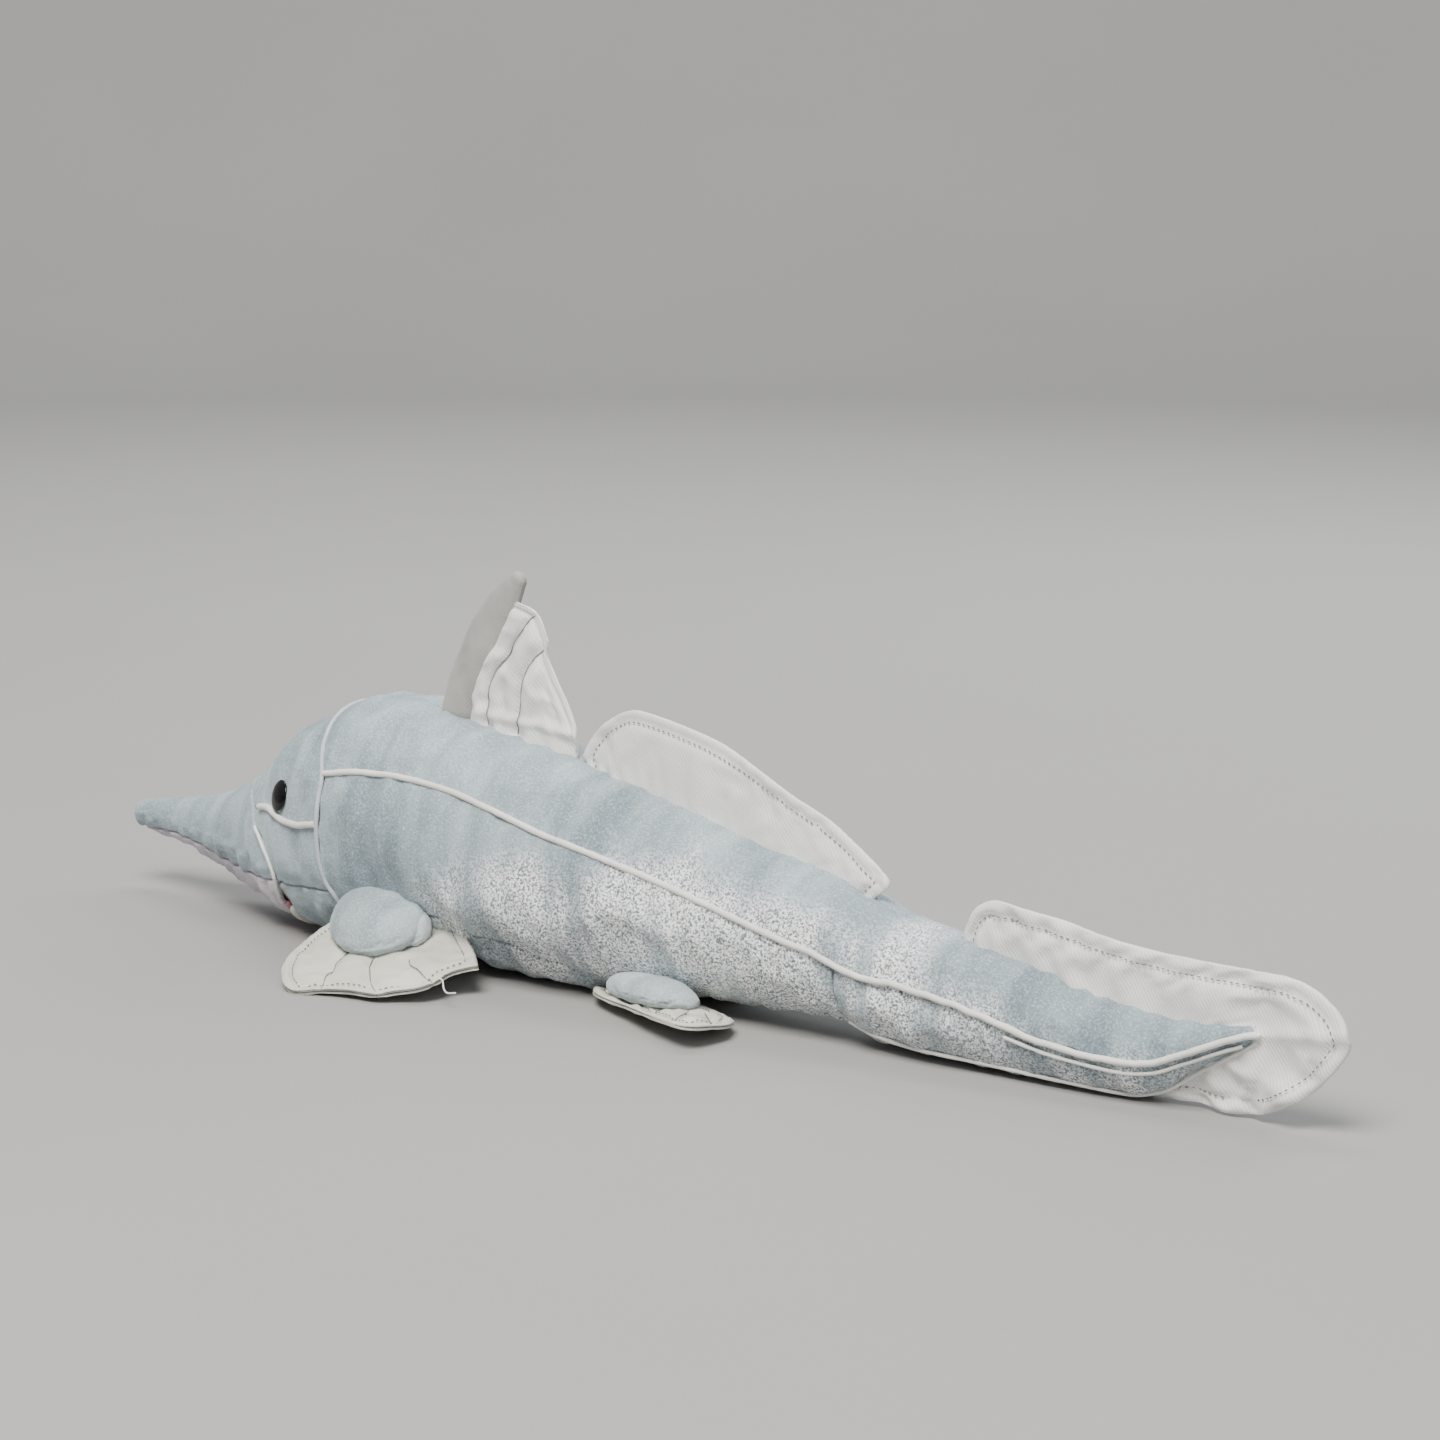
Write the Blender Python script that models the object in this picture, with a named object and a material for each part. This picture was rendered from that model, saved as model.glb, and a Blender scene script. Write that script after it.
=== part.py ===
"""Plush chimaera, a long-nosed ghost shark sewn from velvet panels around one stuffing core.

Run with: blender --background --python part.py

Sizes are millimetres. The fish lies along X with its snout towards -X, its left side
faces -Y, and the floor is the plane z = 0. A place on the body is given by x and by an
angle round the body: 0 degrees is the left side, 90 the ridge, -90 the keel.
"""

import math
from bisect import bisect_right

import bmesh
import bpy
from mathutils import Vector

MM = 0.001

# Landmarks along the body
SNOUT_TIP_X = -278.0
JAW_X = -163.0
GILL_X = -128.5
TAIL_SEAM_X = 95.5
TAIL_TIP_X = 249.0

# Body sections between two landmarks: share of the way, keel height, ridge height, half width
SNOUT_SECTIONS = (
    (0.000, 28.6, 30.4, 0.6), (0.012, 25.9, 33.0, 3.4), (0.040, 23.9, 34.8, 5.3),
    (0.120, 21.8, 36.9, 7.4), (0.220, 20.8, 38.5, 8.8), (0.330, 19.0, 41.0, 10.9),
    (0.430, 16.4, 43.4, 13.3), (0.535, 13.6, 46.4, 16.2), (0.640, 10.6, 51.4, 19.6),
    (0.736, 7.8, 58.2, 23.2), (0.831, 5.6, 66.0, 27.0), (0.927, 3.8, 74.3, 31.0),
)
HEAD_SECTIONS = ((0.00, 3.2, 80.3, 34.0), (0.31, 2.8, 85.6, 37.3), (0.60, 3.0, 90.0, 39.8))
TRUNK_SECTIONS = (
    (0.000, 3.8, 93.2, 42.0), (0.054, 4.8, 93.7, 41.5), (0.120, 5.6, 91.5, 39.8),
    (0.237, 3.2, 87.5, 39.0), (0.330, -1.5, 84.0, 38.6), (0.440, -1.6, 78.8, 37.2),
    (0.563, 1.0, 73.0, 34.2), (0.665, 2.8, 68.0, 31.0), (0.766, 4.1, 62.5, 28.0),
    (0.864, 4.9, 58.0, 25.4), (0.961, 5.4, 53.5, 22.8),
)
TAIL_SECTIONS = (
    (0.000, 4.6, 49.4, 21.8), (0.081, 1.0, 45.5, 21.5), (0.215, -0.9, 42.3, 20.9),
    (0.345, -1.0, 38.8, 18.6), (0.476, -1.0, 35.0, 16.8), (0.606, -0.6, 31.0, 15.1),
    (0.704, 0.2, 28.8, 13.2), (0.776, 3.6, 27.8, 11.2), (0.847, 11.0, 28.8, 8.9),
    (0.921, 18.5, 30.2, 6.0), (0.970, 23.4, 30.6, 4.0), (1.000, 26.6, 28.6, 0.8),
)

# Squareness of the lower half of a section: 2 is an ellipse
CHIN_FULLNESS = ((-215.0, 2.0), (-165.0, 2.45), (-125.0, 2.45), (-80.0, 2.1), (-40.0, 2.0))

# Rows of points along the body in each stretch, steps along cords, and sides of the core and the cutter
SNOUT_ROWS = 9
HEAD_ROWS = 8
TRUNK_ROWS = 15
TAIL_ROWS = 12
NOSE_ROWS = (0.4, 1.4, 3.4, 6.5)
CORE_SIDES = 14
CUTTER_SIDES = 48
PANEL_STEP = 10.0
ROW_STEP = 12.0
HEAD_STEP = 5.0
ROW_GAP = 2.5
CORE_ROW_GAP = 1.0
GILL_PIPING_STEPS = 26
CORD_STEPS = 12
LIP_STEPS = 10
SPINE_STEPS = 9
SPINE_SIDES = 12

# Cloth, seams and piping
CLOTH = 1.6
SEAM_GAP = 0.4
CLEARANCE = 0.3
PIPING_GAP = 0.55
STUFFING_GAP = 1.0
LATERAL_PIPING_D = 2.2
CHEEK_PIPING_D = 2.4
GILL_PIPING_D = 1.5
JAW_PIPING_D = 1.3
TAIL_PANEL_END = 5.0
CORE_NOSE = 7.0
CORE_TAIL = 22.0

# Seam lines of the trunk and tail: x and angle
LATERAL_LINE = (
    (-127.0, 27.0), (-116.0, 28.6), (-105.0, 30.8), (-94.0, 33.0), (-79.5, 34.6), (-65.0, 35.2),
    (-50.0, 34.4), (-35.5, 32.4), (-17.0, 30.4), (0.5, 28.4), (22.0, 25.1), (42.5, 21.0), (63.5, 14.6),
    (84.0, 8.4), (95.5, 7.6), (104.0, 9.0), (123.5, 14.0), (142.5, 12.0), (161.5, 5.5), (180.0, -0.6),
    (198.0, -2.0), (214.5, -3.2), (226.0, -3.0), (235.0, 1.0), (244.0, 6.0),
)
BELLY_SEAM = (
    (-128.0, -36.0), (-68.0, -34.6), (-55.0, -34.0), (-38.0, -36.6), (-22.0, -42.8), (-11.0, -50.0),
    (20.0, -60.0), (95.5, -66.0),
)

# Seam lines of the head, from the jaw, and of the snout, from its tip: distance and angle
CHEEK_LINE = (
    (-25.0, 23.0), (-13.0, 19.0), (-7.0, 16.6), (-2.0, 14.0), (4.0, 9.6), (12.0, 4.8), (24.0, 1.6),
    (34.0, 2.2),
)
GULAR_LINE = ((0.0, -27.5), (15.0, -27.6), (35.0, -28.4))
SNOUT_LINE = ((0.0, -70.0), (10.0, -50.0), (28.0, -29.0), (46.0, -26.5), (70.0, -27.0), (115.0, -26.4))
CHEEK_PIPING_AHEAD = 10.0

# How far the two ring seams run ahead of their landmark: angle and shift
JAW_RING = (
    (-90.0, -4.0), (-46.0, -4.0), (-34.0, -1.6), (-23.0, 0.0), (-12.0, -2.3), (-4.0, -6.7), (3.0, -11.5),
    (15.0, -16.1), (29.0, -21.0), (42.0, -26.0), (60.0, -31.0), (90.0, -34.0),
)
GILL_RING = (
    (-90.0, 3.0), (-36.0, 5.0), (-20.0, 1.4), (0.0, 0.0), (20.0, 0.0), (44.0, -8.0), (65.0, -14.0),
    (90.0, -17.0),
)

# Piping on the ring seams
SNOUT_PANEL_START = 13.0
GILL_PIPING_END = -42.0
GILL_CUT_EXTRA = 3.0
CORD_GAP = 3.0
JAW_PIPING_TOP = 12.0
JAW_PIPING_END = -44.0

# Mouth: pink lining and a cream lower lip behind the jaw seam
MOUTH_HALF_ANGLE = 42.0
LINING_LENGTH = 2.6
LIP_D = 4.2
MOUTH_CORNER = 5.0
MOUTH_RAMP = 12.0

# Eyes
EYE_BEHIND_JAW = 8.0
EYE_ANGLE = 18.4
EYE_D = 12.0
EYE_RIM = 0.5
EYE_DOME = 1.9
EYE_STEM_D = 3.0
EYE_STEM = 5.4
WASHER_D = 10.0
WASHER_T = 1.2
WASHER_GAP = 0.9
CUT_OUTSIDE = 2.0

# Fins on the ridge
FIN_ROOT = 6.0
FIN_HEM = 1.4
SPINE_X = -103.5
SPINE_THICKNESS = 9.0
SPINE_TIP_THICKNESS = 4.6
SPINE_CAP = 2.2
SPINE_CAP_SHARE = 0.55
SPINE_BACK_ROOT = 3.0
SPINE_FRONT = ((0.0, 0.0), (4.0, 12.0), (9.5, 22.0), (16.0, 34.0), (24.0, 43.0), (32.0, 50.0), (38.5, 53.0))
SPINE_BACK = ((17.0, 0.0), (19.0, 7.0), (22.0, 14.0), (27.0, 22.5), (33.0, 31.5), (39.0, 42.0), (42.0, 50.5))
MEMBRANE_THICKNESS = 3.2
MEMBRANE_MARGIN = (
    (40.0, 42.5), (46.0, 40.0), (50.0, 36.0), (53.0, 29.0), (52.6, 24.0), (56.0, 18.0), (61.0, 10.0),
    (65.0, 3.5), (68.0, -3.0), (67.2, -8.5),
)
MEMBRANE_RAYS = (0.34, 0.66)
SECOND_DORSAL_X = -33.5
SECOND_DORSAL_LENGTH = 132.0
SECOND_DORSAL_HEIGHT = 28.0
SECOND_DORSAL_THICKNESS = 3.4
SECOND_DORSAL_SHAPE = (
    (0.00, 0.05), (0.02, 0.25), (0.05, 0.45), (0.09, 0.65), (0.17, 0.91), (0.25, 0.98), (0.37, 1.00),
    (0.50, 0.97), (0.62, 0.87), (0.74, 0.71), (0.86, 0.56), (0.95, 0.43), (1.01, 0.35), (1.035, 0.27),
    (1.02, 0.14), (0.995, 0.03),
)

# Tail fin, from the tail's tip: along and height
CAUDAL_AHEAD = 114.5
CAUDAL_LOWER_AHEAD = 44.0
CAUDAL_ROOT_END = 3.0
CAUDAL_THICKNESS = 3.2
CAUDAL_MARGIN = (
    (-115.0, 42.0), (-111.5, 49.5), (-107.0, 53.5), (-100.0, 55.0), (-81.0, 53.0), (-59.0, 49.6),
    (-37.0, 47.6), (-4.0, 47.4), (8.0, 47.2), (17.5, 44.2), (26.0, 37.8), (29.8, 30.5), (27.0, 23.5),
    (18.0, 13.0), (7.0, 5.5), (-3.0, 1.5), (-12.0, 0.7), (-23.0, 1.6), (-34.0, 1.4), (-43.0, 1.2),
    (-47.0, 3.0),
)

# Paired fins of the left side: a flat fan on a sloping plane, with a stuffed lobe on its root
FAN_THICKNESS = 2.4
PECTORAL_PLANE = (22.3, 0.2545)
PECTORAL_FRONT = ((-122.0, -17.0), (-126.0, -32.0), (-125.5, -47.0), (-121.0, -63.0), (-114.0, -74.0))
PECTORAL_MARGIN = (
    (-114.0, -74.0), (-106.0, -81.0), (-97.0, -84.5), (-88.0, -80.0), (-78.0, -77.0), (-66.0, -75.0),
    (-60.0, -70.5), (-53.5, -66.0), (-50.5, -60.0), (-50.5, -53.0), (-47.5, -48.0), (-44.0, -45.0),
)
PECTORAL_REAR = ((-80.0, -16.0), (-72.0, -24.0), (-62.0, -31.0), (-52.0, -38.0), (-44.0, -45.0))
PECTORAL_RAYS = (0.27, 0.52, 0.76)
PECTORAL_LOBE_CENTRE = (-99.0, -40.0)
PECTORAL_LOBE_LENGTH = 46.0
PECTORAL_LOBE_WIDTH = 33.0
PECTORAL_LOBE_CROWN = 15.0
PECTORAL_LOBE_YAW = -28.0
PELVIC_PLANE = (-0.2, -0.165)
PELVIC_FRONT = ((-4.0, -11.0), (-8.0, -16.0), (-11.0, -21.0))
PELVIC_MARGIN = (
    (-11.0, -21.0), (-4.0, -28.5), (6.0, -33.5), (18.0, -38.0), (33.0, -45.0), (45.0, -49.5),
    (56.0, -53.0), (60.5, -50.0), (61.5, -42.0), (61.5, -34.0), (57.0, -25.0),
)
PELVIC_REAR = ((24.0, -8.0), (36.0, -12.5), (46.0, -17.5), (57.0, -25.0))
PELVIC_RAYS = (0.30, 0.55, 0.80)
PELVIC_LOBE_CENTRE = (21.0, -26.0)
PELVIC_LOBE_LENGTH = 46.0
PELVIC_LOBE_WIDTH = 24.0
PELVIC_LOBE_CROWN = 8.5
PELVIC_LOBE_YAW = -18.0

# Profile of a lobe: share of its reach and share of its crown
LOBE_PROFILE = (
    (0.45, 0.0), (0.80, 0.02), (0.97, 0.12), (1.00, 0.28), (0.94, 0.52), (0.76, 0.78), (0.50, 0.93),
    (0.22, 0.99),
)


def clear_scene():
    for old in list(bpy.data.objects):
        bpy.data.objects.remove(old, do_unlink=True)


def material(name, colour, roughness, metallic=0.0):
    made = bpy.data.materials.new(name)
    made.use_nodes = True
    shader = made.node_tree.nodes["Principled BSDF"]
    shader.inputs["Base Color"].default_value = (*colour, 1.0)
    shader.inputs["Roughness"].default_value = roughness
    shader.inputs["Metallic"].default_value = metallic
    made.diffuse_color = (*colour, 1.0)
    return made


def hermite(table, x):
    """Smooth value of each column of a table at x, held at its ends and never overshooting."""
    keys = [row[0] for row in table]
    if x <= keys[0]:
        return list(table[0][1:])
    if x >= keys[-1]:
        return list(table[-1][1:])
    i = bisect_right(keys, x) - 1
    span = keys[i + 1] - keys[i]
    u = (x - keys[i]) / span
    values = []
    for column in range(1, len(table[0])):
        def slope(k):
            if k == 0 or k == len(table) - 1:
                near = min(k, len(table) - 2)
                return (table[near + 1][column] - table[near][column]) / (keys[near + 1] - keys[near])
            before = (table[k][column] - table[k - 1][column]) / (keys[k] - keys[k - 1])
            after = (table[k + 1][column] - table[k][column]) / (keys[k + 1] - keys[k])
            if before * after <= 0:
                return 0.0
            return 2.0 * before * after / (before + after)
        a, b = table[i][column], table[i + 1][column]
        ma, mb = slope(i) * span, slope(i + 1) * span
        values.append((2*u**3 - 3*u**2 + 1) * a + (u**3 - 2*u**2 + u) * ma
                      + (3*u**2 - 2*u**3) * b + (u**3 - u**2) * mb)
    return values


def body_table():
    stretches = (
        (SNOUT_TIP_X, JAW_X, SNOUT_SECTIONS), (JAW_X, GILL_X, HEAD_SECTIONS),
        (GILL_X, TAIL_SEAM_X, TRUNK_SECTIONS), (TAIL_SEAM_X, TAIL_TIP_X, TAIL_SECTIONS),
    )
    return [(start + share * (end - start), *sizes)
            for start, end, rows in stretches for share, *sizes in rows]


def body_rows():
    """The x of every row of points along the body, closer together round the nose."""
    nose = SNOUT_TIP_X + NOSE_ROWS[-1]
    tail_end = TAIL_TIP_X - TAIL_PANEL_END
    rows = [SNOUT_TIP_X] + [SNOUT_TIP_X + step for step in NOSE_ROWS]
    for start, end, count in ((nose, JAW_X, SNOUT_ROWS), (JAW_X, GILL_X, HEAD_ROWS),
                              (GILL_X, TAIL_SEAM_X, TRUNK_ROWS), (TAIL_SEAM_X, tail_end, TAIL_ROWS)):
        rows += [start + (end - start) * step / count for step in range(1, count + 1)]
    return rows + [TAIL_TIP_X - TAIL_PANEL_END / 2, TAIL_TIP_X]


TABLE = body_table()
ROWS = body_rows()


def section(x):
    """Middle height, half height and half width of the body at x."""
    keel, ridge, half_width = hermite(TABLE, x)
    return (keel + ridge) / 2, (ridge - keel) / 2, half_width


def ridge(x):
    middle, half_height, _ = section(x)
    return middle + half_height


def raw_point(x, angle):
    """Point of the unpressed body: an ellipse above, squarer below under the chin."""
    middle, half_height, half_width = section(x)
    turn = math.radians(angle)
    across, up = math.cos(turn), math.sin(turn)
    if up < 0.0:
        power = 2.0 / line(CHIN_FULLNESS, x)
        across = math.copysign(abs(across) ** power, across)
        up = -abs(up) ** power
    return Vector((x, -half_width * across, middle + half_height * up))


def normal(x, angle):
    """Outward direction of the body's surface."""
    step = 0.4
    ahead, behind = min(x + step, TAIL_TIP_X), max(x - step, SNOUT_TIP_X)
    along = raw_point(ahead, angle) - raw_point(behind, angle)
    around = raw_point(x, angle + 1.0) - raw_point(x, angle - 1.0)
    return along.cross(around).normalized()


def skin(x, angle, depth=0.0):
    """Point of the body's surface, sunk by depth; the underside is pressed flat by the floor."""
    point = raw_point(x, angle) - normal(x, angle) * depth
    point.z = max(point.z, depth)
    return point


def line(table, x):
    return hermite(table, x)[0]


def lateral(x):
    return line(LATERAL_LINE, x)


def other_side(angle):
    return 180.0 - angle


def under_side(angle):
    return -180.0 - angle


def folded(angle):
    """The angle of the same height on the left side."""
    if angle > 90.0:
        return 180.0 - angle
    return -180.0 - angle if angle < -90.0 else angle


def cheek_seam(x):
    return line(CHEEK_LINE, x - JAW_X)


def gular_seam(x):
    return line(GULAR_LINE, x - JAW_X)


def snout_seam(x):
    return line(SNOUT_LINE, x - SNOUT_TIP_X)


def jaw_ring(angle):
    return JAW_X + line(JAW_RING, folded(angle))


def gill_ring(angle):
    return GILL_X + line(GILL_RING, folded(angle))


def mouth_edge(angle):
    """Front edge of the throat: straight behind the lip, running forward to the jaw at its corners."""
    off_centre = abs(angle + 90.0) - MOUTH_HALF_ANGLE - MOUTH_CORNER
    share = min(1.0, max(0.0, off_centre / MOUTH_RAMP))
    behind_lip = jaw_ring(-90.0) + LINING_LENGTH + LIP_D + 4 * CLEARANCE
    return behind_lip + (jaw_ring(angle) - behind_lip) * share


def finish(name, mesh_data, look, smooth_angle=50.0):
    bmesh.ops.remove_doubles(mesh_data, verts=mesh_data.verts, dist=1e-7)
    bmesh.ops.recalc_face_normals(mesh_data, faces=mesh_data.faces)
    mesh = bpy.data.meshes.new(name)
    mesh_data.to_mesh(mesh)
    mesh_data.free()
    mesh.shade_smooth()
    mesh.set_sharp_from_angle(angle=math.radians(smooth_angle))
    if look:
        mesh.materials.append(look)
    made = bpy.data.objects.new(name, mesh)
    bpy.context.collection.objects.link(made)
    return made


def flipped(points, side):
    """The same points in metres, mirrored to the right side when side is -1."""
    return [Vector((p.x, p.y * side, p.z)) * MM for p in points]


def slab(name, top, bottom, look, side=1):
    """Closed sheet between two grids of points."""
    work = bmesh.new()
    upper = [[work.verts.new(p) for p in flipped(row, side)] for row in top]
    lower = [[work.verts.new(p) for p in flipped(row, side)] for row in bottom]
    last, end = len(top) - 1, len(top[0]) - 1
    for i in range(last):
        for j in range(end):
            work.faces.new((upper[i][j], upper[i + 1][j], upper[i + 1][j + 1], upper[i][j + 1]))
            work.faces.new((lower[i][j + 1], lower[i + 1][j + 1], lower[i + 1][j], lower[i][j]))
    for i in range(last):
        work.faces.new((upper[i][0], lower[i][0], lower[i + 1][0], upper[i + 1][0]))
        work.faces.new((upper[i + 1][end], lower[i + 1][end], lower[i][end], upper[i][end]))
    for j in range(end):
        work.faces.new((upper[0][j + 1], lower[0][j + 1], lower[0][j], upper[0][j]))
        work.faces.new((upper[last][j], lower[last][j], lower[last][j + 1], upper[last][j + 1]))
    return finish(name, work, look)


def loft(name, rings, look, side=1, closed=False):
    """Solid through rings of points, capped at both ends, or joined end to end when closed."""
    work = bmesh.new()
    loops = [[work.verts.new(p) for p in flipped(ring, side)] for ring in rings]
    count = len(rings[0])
    pairs = list(zip(loops, loops[1:]))
    if closed:
        pairs.append((loops[-1], loops[0]))
    for a, b in pairs:
        for k in range(count):
            work.faces.new((a[k], a[(k + 1) % count], b[(k + 1) % count], b[k]))
    if not closed:
        work.faces.new(loops[0])
        work.faces.new(reversed(loops[-1]))
    return finish(name, work, look)


def cut(target, cutter):
    """Cut a neighbour's clearance out of a piece."""
    modifier = target.modifiers.new("clearance of " + cutter.name, "BOOLEAN")
    modifier.operation = "DIFFERENCE"
    modifier.solver = "EXACT"
    modifier.object = cutter


def hide(cutter):
    cutter.hide_render = True
    cutter.display_type = "WIRE"
    return cutter


def body_shell(name, depth, first_x, last_x, sides, look):
    """Closed solid inside, or round, the body's surface."""
    stations = [first_x] + [x for x in ROWS if first_x + CORE_ROW_GAP < x < last_x - CORE_ROW_GAP] + [last_x]
    rings = [[skin(x, 360.0 * k / sides, depth) for k in range(sides)] for x in stations]
    return loft(name, rings, look)


def panel(name, look, start, end, low, high, margins, side=1, cell=PANEL_STEP, row=ROW_STEP):
    """Sewn cloth panel between two rings and two seam lines; margins are front, rear, low, high."""
    front, rear, low_margin, high_margin = margins

    def degree(x):
        _, half_height, half_width = section(x)
        return math.radians((half_height + half_width) / 2)

    def inset(seam, x, margin):
        """Margin square to a slanting seam, as an angle round the body."""
        slant = (seam(x + 1.0) - seam(x - 1.0)) / 2 * degree(x)
        return margin * math.hypot(1.0, slant) / degree(x)

    def angles(x, count):
        a, b = low(x) + inset(low, x, low_margin), high(x) - inset(high, x, high_margin)
        return [a + (b - a) * k / count for k in range(count + 1)]

    reach = [start(0.0), end(0.0)] + [x for x in ROWS if start(0.0) < x < end(0.0)]
    girth = max((high(x) - low(x)) * degree(x) for x in reach)
    cells = max(3, math.ceil(girth / cell))

    def edge_column(ring, offset):
        x = ring(0.0)
        column = [x] * (cells + 1)
        for _ in range(4):
            column = [ring(angles(x_here, cells)[k]) + offset for k, x_here in enumerate(column)]
        return [(x_here, angles(x_here, cells)[k]) for k, x_here in enumerate(column)]

    def between(a, b):
        """Columns that turn gradually from a slanting edge to a straight row."""
        widest = max(abs(b[k][0] - a[k][0]) for k in range(cells + 1))
        count = math.ceil(widest / row)
        blend = []
        for i in range(1, count):
            xs = [a[k][0] + (b[k][0] - a[k][0]) * i / count for k in range(cells + 1)]
            blend.append([(x, angles(x, cells)[k]) for k, x in enumerate(xs)])
        return blend

    first, last = edge_column(start, front), edge_column(end, -rear)
    begin = max(x for x, _ in first) + ROW_GAP
    stop = min(x for x, _ in last) - ROW_GAP
    columns = [first] + [[(x, a) for a in angles(x, cells)] for x in ROWS if begin < x < stop] + [last]
    if len(columns) > 2:
        columns = [first] + between(first, columns[1]) + columns[1:-1] + between(columns[-2], last) + [last]
    outer = [[skin(x, angle) for x, angle in column] for column in columns]
    inner = [[skin(x, angle, CLOTH) for x, angle in column] for column in columns]
    return slab(name, outer, inner, look, side)


def tube(name, points, diameter, look, side=1, sides=6):
    """Round cord through points, with flat ends."""
    rings = []
    for i, point in enumerate(points):
        along = (points[min(i + 1, len(points) - 1)] - points[max(i - 1, 0)]).normalized()
        outward = Vector((0.0, point.y, point.z - section(point.x)[0])).normalized()
        across = along.cross(outward).normalized()
        outward = across.cross(along)
        ring = []
        for k in range(sides):
            turn = math.tau * k / sides
            ring.append(point + (across * math.cos(turn) + outward * math.sin(turn)) * diameter / 2)
        rings.append(ring)
    return loft(name, rings, look, side)


def smooth_curve(points, count):
    """Evenly spread points on a smooth curve through the given ones."""
    vectors = [Vector(p) for p in points]
    dense = []
    for i in range(len(vectors) - 1):
        a, b = vectors[i], vectors[i + 1]
        before = vectors[i - 1] if i else a - (b - a)
        after = vectors[i + 2] if i + 2 < len(vectors) else b + (b - a)
        for step in range(12):
            u = step / 12
            dense.append(0.5 * (2*a + (b - before)*u + (2*before - 5*a + 4*b - after)*u*u
                                + (3*a - before - 3*b + after)*u**3))
    dense.append(vectors[-1])
    lengths = [0.0]
    for a, b in zip(dense, dense[1:]):
        lengths.append(lengths[-1] + (b - a).length)
    spread = []
    for step in range(count + 1):
        goal = lengths[-1] * step / count
        i = min(bisect_right(lengths, goal) - 1, len(dense) - 2)
        share = (goal - lengths[i]) / max(lengths[i + 1] - lengths[i], 1e-9)
        spread.append(dense[i].lerp(dense[i + 1], share))
    return spread


def quilting(share, rays):
    """Thickness of padding between sewn rays: 0 on a ray, 1 half way to the next."""
    marks = (0.0, *rays, 1.0)
    i = min(max(bisect_right(marks, share) - 1, 0), len(marks) - 2)
    return math.sin(math.pi * (share - marks[i]) / (marks[i + 1] - marks[i]))


def fin(name, look, curves, thickness, rays, face, side=1):
    """Quilted fin between its root, margin, front and rear curves; face is its side direction."""
    root, margin, front, rear = curves
    across, up = len(root) - 1, len(front) - 1
    top, bottom = [], []
    for i in range(across + 1):
        s = i / across
        top.append([])
        bottom.append([])
        for j in range(up + 1):
            t = j / up
            point = ((1 - t) * root[i] + t * margin[i] + (1 - s) * front[j] + s * rear[j]
                     - (1 - s) * (1 - t) * root[0] - s * (1 - t) * root[-1]
                     - (1 - s) * t * margin[0] - s * t * margin[-1])
            padding = quilting(s, rays) * math.sin(math.pi * min(1.0, (1.0 - t) * 1.6) / 2)
            half = (FIN_HEM + (thickness - FIN_HEM) * max(0.0, padding)) / 2
            top[-1].append(point + face * half)
            bottom[-1].append(point - face * half)
    return slab(name, top, bottom, look, side)


def fin_curves(root, margin, columns, levels):
    """Root, margin and the two straight ends that join them."""
    return (smooth_curve(root, columns), smooth_curve(margin, columns),
            smooth_curve([root[0], margin[0]], levels), smooth_curve([root[-1], margin[-1]], levels))


def ridge_place(x_offset, height, foot_x):
    """Point in the fish's middle plane, measured from the ridge at foot_x."""
    return Vector((foot_x + x_offset, 0.0, ridge(foot_x) + height))


def pad(name, look, centre, length, width, yaw, crown, plane, lift, side=1):
    """Stuffed lobe: an oval pillow lying on a sloping plane."""
    count = 16
    turn = math.radians(yaw)
    rings = []
    for reach, height in LOBE_PROFILE:
        ring = []
        for k in range(count):
            angle = math.tau * k / count
            u, v = length / 2 * reach * math.cos(angle), width / 2 * reach * math.sin(angle)
            x = centre[0] + u * math.cos(turn) - v * math.sin(turn)
            y = centre[1] + u * math.sin(turn) + v * math.cos(turn)
            ring.append(Vector((x, y, plane[0] + plane[1] * y + lift + crown * height)))
        rings.append(ring)
    return loft(name, rings, look, side)


def on_plane(points, plane):
    return [Vector((x, y, plane[0] + plane[1] * y)) for x, y in points]


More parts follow.
